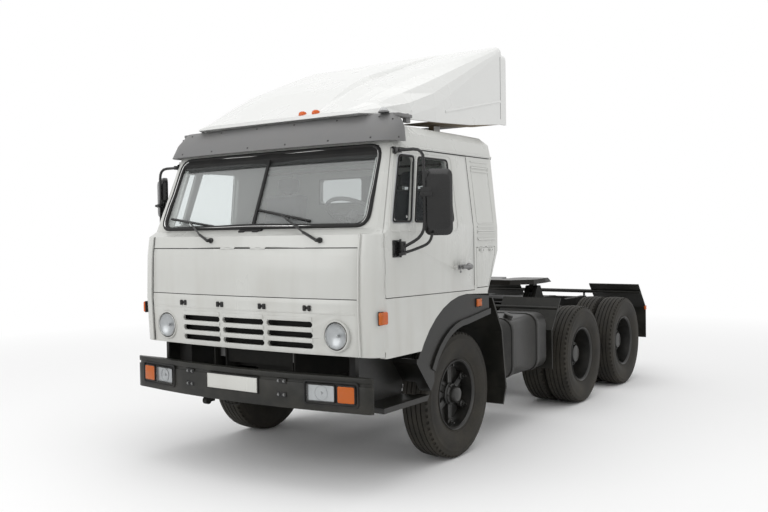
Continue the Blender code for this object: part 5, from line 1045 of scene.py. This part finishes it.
def makeCabSide(name, side):
    v = cabValues
    rail = []
    for y in evenly(*v["rail"], 19):
        node, up = ("cab_roof", 0.004) if y > v["roofStarts"] else ("cab_front", -0.012)
        rail.append((onSide(node, y, v["railZ"] + up).x + 0.004, y, v["railZ"]))
    # painted shadow: a dark rubber strip just under the drip rail stands for the rail's shadow
    under = [(x - 0.003, y, z - 0.0125) for x, y, z in rail]
    node = "cab_side_left"
    presses = [sideHoop(node, v["panel"], 0.022, -0.0005, 0.0055, 8, 0.1)]
    for z in v["ribs"]:
        presses.append(pipe([onSide(node, y, z) for y in evenly(*v["ribEnds"], 3)], 0.0075, around=8))
    skin = onSide(node, 0.30, 1.80).x
    plates, screws = [], []
    for y in v["hingeAt"]:
        plates.append(slab((skin - 0.001, skin + 0.003), (y - 0.032, y + 0.032), v["hingeZ"], 0.001))
        for at in (y - 0.020, y + 0.020):
            screws.append(turned(shifted(v["screw"], skin), "x", (0, at, sum(v["hingeZ"]) / 2), 8))
    # raised lip along the deflector's inner edge
    face = [(frontAt("corner_deflector_left", 1.088, z).y, z) for z in evenly(*v["lip"], 13)]
    lip = plated([(y - 0.018, z) for y, z in face] + [(y + 0.003, z) for y, z in reversed(face)], "x", 1.0785, 1.0895)
    for key, shape, body, finish, slot in (
            ("drip_rail", pipe(rail, 0.0095, around=10), "cab", "cab", "cab_paint"),
            ("drip_rail_seal", pipe(under, 0.0070, around=8), "cab", "rubber", "black_trim"),
            ("sleeper_pressings", gather(*presses), "cab", "cab", "cab_paint"),
            ("locker_hinges", gather(*plates), name + "_locker", "cab", "cab_paint"),
            ("locker_hinge_screws", gather(*screws), name + "_locker", "handle", "cab_paint"),
            ("deflector_lip", softened(lip, 0.003, 2, 50.0), "cab", "cab", "cab_paint")):
        done(key + "_" + name, sided(shape, side), body, finish, slot)


# node, where its skin is read, how far the piece stands off and in, y, z, rounding and its facets, look
sideLamps = {
    "side_lamp_front": ("corner_deflector_left", (-1.205, 1.262), (-0.002, 0.030), (-1.249, -1.161), (1.219, 1.309),
                        (0.010, 3), ("amber", "lamp_clear")),
    "side_lamp_base": ("corner_deflector_left", (-1.205, 1.262), (-0.003, 0.006), (-1.250, -1.156), (1.215, 1.313),
                       (0.004, 2), ("rubber", "black_trim")),
    "arch_lamp": ("arch_step_left", (0.213, 1.268), (-0.002, 0.016), (0.172, 0.254), (1.240, 1.303),
                  (0.006, 3), ("amber", "lamp_clear")),
    "arch_lamp_base": ("arch_step_left", (0.213, 1.268), (-0.003, 0.005), (0.164, 0.262), (1.233, 1.310),
                       (0.003, 2), ("rubber", "black_trim")),
}


def makeSideLamps(name, side):
    for key, (node, place, stand, y, z, edge, look) in sideLamps.items():
        skin = onSide(node, *place).x
        shape = slab((skin + stand[0], skin + stand[1]), y, z, *edge)
        done(key + "_" + name, sided(shape, side), "cab", *look)


# roof: orange lamps on the fairing's nose, clear dome, visor rivets and brackets

roofValues = {
    "orange": ((0.284, -0.905, 2.812), (0.418, -0.905, 2.812)), "dome": (1.035, -0.865, 2.764),
    "rivets": (-1.0, -0.62, -0.2, 0.2, 0.62, 1.0), "rivetRows": (2.735, 2.572),
    "sideRivets": ((-0.90, 2.57), (-0.87, 2.71)),
    # (along the axis, radius)
    "lamp": [(-0.006, 0.036), (0.008, 0.036), (0.018, 0.030), (0.025, 0.016), (0.026, 0)],
    "cover": [(0.012, 0.036), (0.026, 0.032), (0.040, 0.018), (0.043, 0)],
    "base": [(0, 0.042), (0.010, 0.042), (0.014, 0.037), (0.014, 0)],
    "rivet": [(0.002, 0.008), (-0.002, 0.0075), (-0.004, 0.004), (-0.0045, 0)],
    "sideRivet": ((-0.002, 0.008), (0.003, 0.0065), (0.0045, 0)),
}


def makeRoofFittings():
    v = roofValues
    lamps = []
    for x, y, z in v["orange"]:
        lamp = turned(v["lamp"], "z", (x, y, z), 24)
        for vert in lamp.verts:
            vert.co.y = y + (vert.co.y - y) * 0.7
        lamps.append(lamp)
    done("roof_lamps_orange", gather(*lamps), "cab", "amber", "lamp_clear")
    done("roof_dome", turned(v["cover"], "z", v["dome"], 24), "cab", "dome", "lamp_clear")
    done("roof_dome_base", turned(v["base"], "z", v["dome"], 24), "cab", "visor", "black_trim")
    skins = [frontAt("sun_visor", x, z) for x in v["rivets"] for z in v["rivetRows"]]
    rivets = [turned(v["rivet"], "y", skin, 10) for skin in skins if skin]
    for name, side in sides:
        for y, z in v["sideRivets"]:
            hit = touch("sun_visor", (3 * side, y, z), (-side, 0, 0))[0]
            if hit:
                profile = [(hit.x + out * side, radius) for out, radius in v["sideRivet"]]
                rivets.append(turned(profile, "x", (0, y, z), 10))
        stay = gather(slab((1.085, 1.145), (-0.835, -0.640), (2.735, 2.762), 0.006),
                      slab((1.092, 1.128), (-0.700, -0.640), (2.700, 2.762), 0.006),
                      turned([(2.760, 0.012), (2.770, 0.012), (2.770, 0)], "z", (1.115, -0.665, 0), 6))
        done("visor_stay_" + name, sided(stay, side), "cab", "visor", "visor_paint")
    done("visor_rivets", gather(*rivets), "cab", "hub", "visor_paint")


# fairing: bare inner side, flange below and a near-black shelf across the rear as painted shade of its cavity, crease
# on its sides, joint of the rear collar

fairingValues = {
    "edge": [(-0.18, 2.7525), (0.35, 2.780), (0.88, 2.833), (1.04, 2.846)],  # its lower edge as (y, z)
    "flange": (0.74, 1.075), "shelf": [(0.55, 2.812), (1.04, 2.858), (1.04, 2.864), (0.55, 2.818)],
    "crease": (-0.06, 0.88, 2.851, 0.189 / 0.95), "joint": (2.880, 3.440), "jointY": 0.880,
}


def bothSides(x0, x1, make):  # the same shape left and right of the middle
    return [make((x0, x1)), make((-x1, -x0))]


def makeFairingLining():
    v = fairingValues
    shape = cadShape("roof_fairing")
    shell = BVHTree.FromBMesh(shape)
    outer = []
    for face in shape.faces:
        start = face.calc_center_median() + face.normal * 0.004
        if shell.ray_cast(start, face.normal)[0] is None:
            outer.append(face)
    bmesh.ops.delete(shape, geom=outer, context="FACES")
    bmesh.ops.solidify(shape, geom=shape.faces[:], thickness=-0.0015)
    done("fairing_lining", shape, "cab", "fibre", "fairing_paint")
    section = [(y, z + 0.006) for y, z in v["edge"]] + [(y, z + 0.012) for y, z in reversed(v["edge"])]
    flanges = bothSides(*v["flange"], lambda x: plated(section, "x", *x))
    done("fairing_flange", gather(*flanges), "cab", "fibre", "fairing_paint")
    apron = slab((-0.86, 0.86), (-0.835, -0.827), (2.66, 2.80), 0.002)
    done("fairing_apron", apron, "cab", "fairing", "fairing_paint")
    # painted shade: a near-black sheet across the rear cavity stands for its shadow
    done("fairing_rear_painted_shade", plated(v["shelf"], "x", -0.74, 0.74), "cab", "rubber", "fairing_paint")


makeFairingLining()


def makeFairingTrim(name, side):
    def skin(y, z, out):
        hit, normal = touch("roof_fairing", (3, y, z), (-1, 0, 0))
        return hit + normal * out if hit else None

    v = fairingValues
    start, end, low, slope = v["crease"]
    rows = [skin(y, low + slope * (y - start), -0.002) for y in evenly(start, end, 13)]
    crease = pipe([row + Vector((-0.007, 0, 0)) for row in rows if row], 0.016, around=14)
    done("fairing_crease_" + name, sided(crease, side), "cab", "fairing", "fairing_paint")
    rows = [skin(v["jointY"], z, 0.0002) for z in evenly(*v["joint"], 13)]
    joint = pipe([row for row in rows if row], 0.0024, around=6)
    done("fairing_joint_" + name, sided(joint, side), "cab", "visor", "fairing_paint")


for name, side in sides:
    makeDoorTrim(name, side)
    makeMirrorFittings(name, side)
    makeCabSide(name, side)
    makeSideLamps(name, side)
    makeFairingTrim(name, side)
makeRoofFittings()
print("cab fittings")


# cab inside: padded seats and bunk, their frames, header lining and curtain rail

insideValues = {"voxel": 0.018, "frames": 20, "pressure": 4.0, "cap": 0.014, "leanAt": (0, 0.0, 1.85)}


def padded(name, x, y, z, fill, lean=0.0):  # a rounded block that the cloth then swells
    shape = slab(x, y, z, 0.03, 3)
    if lean:
        moved(shape, turn=(lean, "X"), centre=insideValues["leanAt"])
    piece = done(name, shape, "cab", "seat", "seat_cloth", crease=60)
    swell(piece)
    return piece


def swell(piece):
    remesh = piece.modifiers.new("remesh", "REMESH")
    remesh.mode = "VOXEL"
    remesh.voxel_size = insideValues["voxel"]
    bake(piece)
    start = [vert.co.copy() for vert in piece.data.vertices]
    cloth = piece.modifiers.new("cloth", "CLOTH")
    cloth.settings.use_pressure = True
    cloth.settings.uniform_pressure_force = insideValues["pressure"]
    cloth.settings.effector_weights.gravity = 0.0
    cloth.point_cache.frame_end = insideValues["frames"]
    for step in range(1, insideValues["frames"] + 1):
        bpy.context.scene.frame_set(step)
    bake(piece)
    for vert, place in zip(piece.data.vertices, start):
        shift = vert.co - place
        if shift.length > insideValues["cap"]:
            vert.co = place + shift.normalized() * insideValues["cap"]
    piece.data.shade_smooth()
    bpy.context.scene.frame_set(1)


def bake(piece):  # puts the modifiers' result in the mesh
    graph = bpy.context.evaluated_depsgraph_get()
    mesh = bpy.data.meshes.new_from_object(piece.evaluated_get(graph))
    piece.modifiers.clear()
    piece.data = mesh


# x, y, z, how full, lean in degrees
padValues = {
    "cushion": ((0.455, 0.945), (-0.42, 0.02), (1.735, 1.850), 0.8, 0.0),
    "back": ((0.465, 0.935), (-0.085, 0.035), (1.850, 2.245), 0.8, -8.0),
    "head": ((0.585, 0.815), (-0.055, 0.025), (2.262, 2.395), 0.9, -8.0),
    "bunk": ((-1.085, 1.085), (0.165, 0.575), (1.690, 1.790), 0.8, 0.0),
}


def makeInside():
    v = padValues
    for name, side in sides:
        for key in ("cushion", "back", "head"):
            x, *rest = v[key]
            piece = padded("seat_%s_%s" % (key, name), sorted(side * end for end in x), *rest)
            if key == "cushion":
                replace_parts(piece, "seat_" + name)
        frameRows = [
            slab((0.47, 0.93), (-0.40, 0.02), (1.700, 1.742), 0.01),
            slab((0.52, 0.88), (-0.33, -0.03), (1.4206, 1.705), 0.02),
            slab((0.655, 0.745), (0.035, 0.060), (1.74, 2.30), 0.008)]
        done("seat_frame_" + name, sided(gather(*frameRows), side), "cab", "rubber", "inside_trim")
    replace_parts(padded("bunk_mattress", *v["bunk"]), "bunk")
    board = slab((-1.12, 1.12), (0.153, 0.585), (1.665, 1.687), 0.004)
    front = bothSides(0.43, 1.12, lambda x: slab(x, (0.153, 0.173), (1.4206, 1.665), 0.004))
    done("bunk_board", gather(board, *front), "cab", "inside", "inside_trim")
    # header lining over the windscreen, near black as painted shade behind the clear top band of the windscreen, and
    # the curtain rail
    lining = [frontAt("windscreen", x, 2.47) + Vector((0, 0.035, 0)) for x in evenly(-1.0296, 1.0296, 9)]
    head = pipe(lining, 0.055, around=10)
    for vert in head.verts:
        vert.co.z = 2.475 + (vert.co.z - 2.47) * 1.1
    shelf = plated([(-0.885, 2.402), (-0.600, 2.420), (-0.600, 2.470), (-0.885, 2.500)], "x", -1.02, 1.02)
    # painted shade: the lining's near black stands for the dark band under the visor at the windscreen's top
    done("header_lining", gather(head, shelf), "cab", "rubber", "inside_trim")
    rail = pipe([(-1.05, 0.10, 2.44), (1.05, 0.10, 2.44)], 0.010, around=10)
    done("curtain_rail", rail, "cab", "hub", "inside_trim")


makeInside()
print("inside")


# behind the grille: radiator core, and the shields beside the steps

coreValues = {"half": 0.735, "low": 0.995, "top": 1.325, "y": -1.250, "pitch": 0.012, "shieldZ": (0.660, 0.985)}


def makeRadiatorCore():
    v = coreValues
    shape = slab((-v["half"], v["half"]), (v["y"], v["y"] + 0.035), (v["low"], v["top"]), 0.004)
    fins = []
    for row in range(int((v["top"] - v["low"] - 0.04) / v["pitch"])):
        z = v["low"] + 0.02 + row * v["pitch"]
        fins.append(slab((0.02 - v["half"], v["half"] - 0.02), (v["y"] - 0.006, v["y"] + 0.002),
                         (z, z + v["pitch"] * 0.4)))
    done("radiator_core", gather(shape, *fins), "cab", "steel", "chassis_paint")
    shields = bothSides(0.84, 1.008, lambda x: slab(x, (-1.085, -1.077), v["shieldZ"], 0.002))
    shields += bothSides(1.000, 1.008, lambda x: slab(x, (-1.085, -0.625), v["shieldZ"], 0.002))
    done("step_shields", gather(*shields), "cab", "rubber", "black_trim")


makeRadiatorCore()


# bumper: tow eye below it and wire loop

towValues = {
    "ring": [(-0.386, 0.016), (-0.386, 0.030), (-0.344, 0.030), (-0.344, 0.016), (-0.386, 0.016)],
    "loop": [(-0.145, -1.395, 0.612), (-0.140, -1.400, 0.572), (-0.060, -1.402, 0.562), (0.020, -1.400, 0.572),
             (0.025, -1.395, 0.612)],
}


def makeTowing():
    v = towValues
    eye = gather(slab((-0.385, -0.345), (-1.385, -1.300), (0.545, 0.615), 0.006),
                 turned(v["ring"], "x", (0, -1.372, 0.560), 20))
    done("tow_eye", eye, "chassis", "steel", "chassis_paint")
    done("step_loop", pipe(v["loop"], 0.006, 0.02, around=8), "chassis", "steel", "chassis_paint")


makeTowing()
print("lower front")


# lamps on the rear guards

tailValues = {"red": (0.74, 0.8888), "amber": (0.8936, 0.98), "z": (0.98, 1.05), "marker": (0.83, 0.88), "deep": 0.012}


def makeTailLamps(name, side):
    v = tailValues
    node = "bogie_mudguard_rear"
    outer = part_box(node)[1].x
    low, top = v["z"]
    backs = [touch(node, (0.86, 9, z), (0, -1, 0))[0].y for z in v["z"]]
    lean = (backs[1] - backs[0]) / (top - low)
    for key in ("red", "amber"):
        shape = slab(v[key], (-0.002, v["deep"]), v["z"], 0.004)
        for vert in shape.verts:
            vert.co.y += backs[0] + (vert.co.z - low) * lean
        done("tail_lamp_%s_%s" % (key, name), sided(shape, side), "chassis", key, "lamp_clear")
    back = touch(node, (outer - 0.02, 9, v["marker"][0]), (0, -1, 0))[0].y
    marker = slab((outer - 0.004, outer + 0.010), (back - 0.055, back - 0.004), v["marker"], 0.003)
    done("rear_marker_" + name, sided(marker, side), "chassis", "amber", "lamp_clear")


for name, side in sides:
    makeTailLamps(name, side)


# stage, light and camera

# lamps are name, place, what they face, size and power
studio = {
    "lens": 40.646, "place": (4.707, -7.916, 1.872), "yaw": 34.58, "pitch": -1.56, "roll": -0.90,
    "floorHalf": 90.0, "floor": (0.93, 0.93, 0.93), "sky": 0.80,
    "lamps": [("overhead", (0.5, -1.5, 9.0), (0.0, 0.0, 1.2), 8.0, 235.0),
              ("ahead", (-3.5, -11.0, 4.5), (0.0, -1.5, 1.3), 6.0, 215.0),
              ("beside", (10.0, -3.0, 4.0), (0.0, 0.5, 1.2), 5.0, 60.0)],
}


def paleFloor(name, colour):  # far off it runs into the white background, near the truck it keeps the shadow
    floor = Finish(name, colour, 0.95, Specular_IOR_Level=0.1)
    away = ((floor.x * floor.x + floor.y * floor.y) ** 0.5).ramp(4.0, 11.0)
    seen = floor.add("ShaderNodeLightPath", {}, out="Is Camera Ray")
    white = floor.add("ShaderNodeEmission", {}, Color=(1, 1, 1, 1))
    blend = floor.add("ShaderNodeMixShader", {}, away * seen)
    floor.tree.links.new(floor.shader.outputs[0], blend.socket.node.inputs[1])
    floor.tree.links.new(white.socket, blend.socket.node.inputs[2])
    floor.tree.links.new(blend.socket, floor.output.inputs["Surface"])
    return floor.material


def makeStudio():
    yaw, pitch, roll = (math.radians(studio[key]) for key in ("yaw", "pitch", "roll"))
    ahead = Vector((-math.sin(yaw) * math.cos(pitch), math.cos(yaw) * math.cos(pitch), math.sin(pitch)))
    right = Vector((math.cos(yaw), math.sin(yaw), 0))
    up = right.cross(ahead)
    across = right * math.cos(roll) + up * math.sin(roll)
    upright = up * math.cos(roll) - right * math.sin(roll)
    pose = Matrix((across, upright, -ahead)).transposed().to_4x4()
    pose.translation = studio["place"]
    camera = bpy.data.objects.new("camera", bpy.data.cameras.new("camera"))
    camera.matrix_world = pose
    camera.data.sensor_width = 36
    camera.data.lens = studio["lens"]
    camera.data.clip_end = 300
    scene = bpy.context.scene
    scene.collection.objects.link(camera)
    scene.camera = camera
    scene.view_settings.view_transform = "Standard"

    for name, place, target, size, power in studio["lamps"]:
        lamp = bpy.data.objects.new(name, bpy.data.lights.new(name, "AREA"))
        lamp.data.size = size
        lamp.data.energy = power
        lamp.location = place
        lamp.rotation_euler = (Vector(target) - Vector(place)).to_track_quat("-Z", "Y").to_euler()
        scene.collection.objects.link(lamp)

    ground = bmesh.new()
    bmesh.ops.create_grid(ground, x_segments=1, y_segments=1, size=studio["floorHalf"])
    mesh = bpy.data.meshes.new("floor")
    ground.to_mesh(mesh)
    ground.free()
    floor = bpy.data.objects.new("floor", mesh)
    scene.collection.objects.link(floor)
    mesh.materials.append(paleFloor("paleFloor", studio["floor"]))

    world = bpy.data.worlds.new("studio")
    scene.world = world
    world.use_nodes = True
    tree = world.node_tree
    back = tree.nodes["Background"]
    rays = tree.nodes.new("ShaderNodeLightPath")
    seen = rays.outputs["Is Camera Ray"]
    for ray in ("Is Transmission Ray", "Is Glossy Ray"):
        either = tree.nodes.new("ShaderNodeMath")
        either.operation = "MAXIMUM"
        tree.links.new(seen, either.inputs[0])
        tree.links.new(rays.outputs[ray], either.inputs[1])
        seen = either.outputs[0]
    level = tree.nodes.new("ShaderNodeMapRange")  # what a ray sees is white, what lights the truck is the sky's level
    tree.links.new(seen, level.inputs[0])
    level.inputs[3].default_value = studio["sky"]
    level.inputs[4].default_value = 1.0
    back.inputs["Color"].default_value = (1, 1, 1, 1)
    tree.links.new(level.outputs[0], back.inputs["Strength"])


makeStudio()
print("studio")
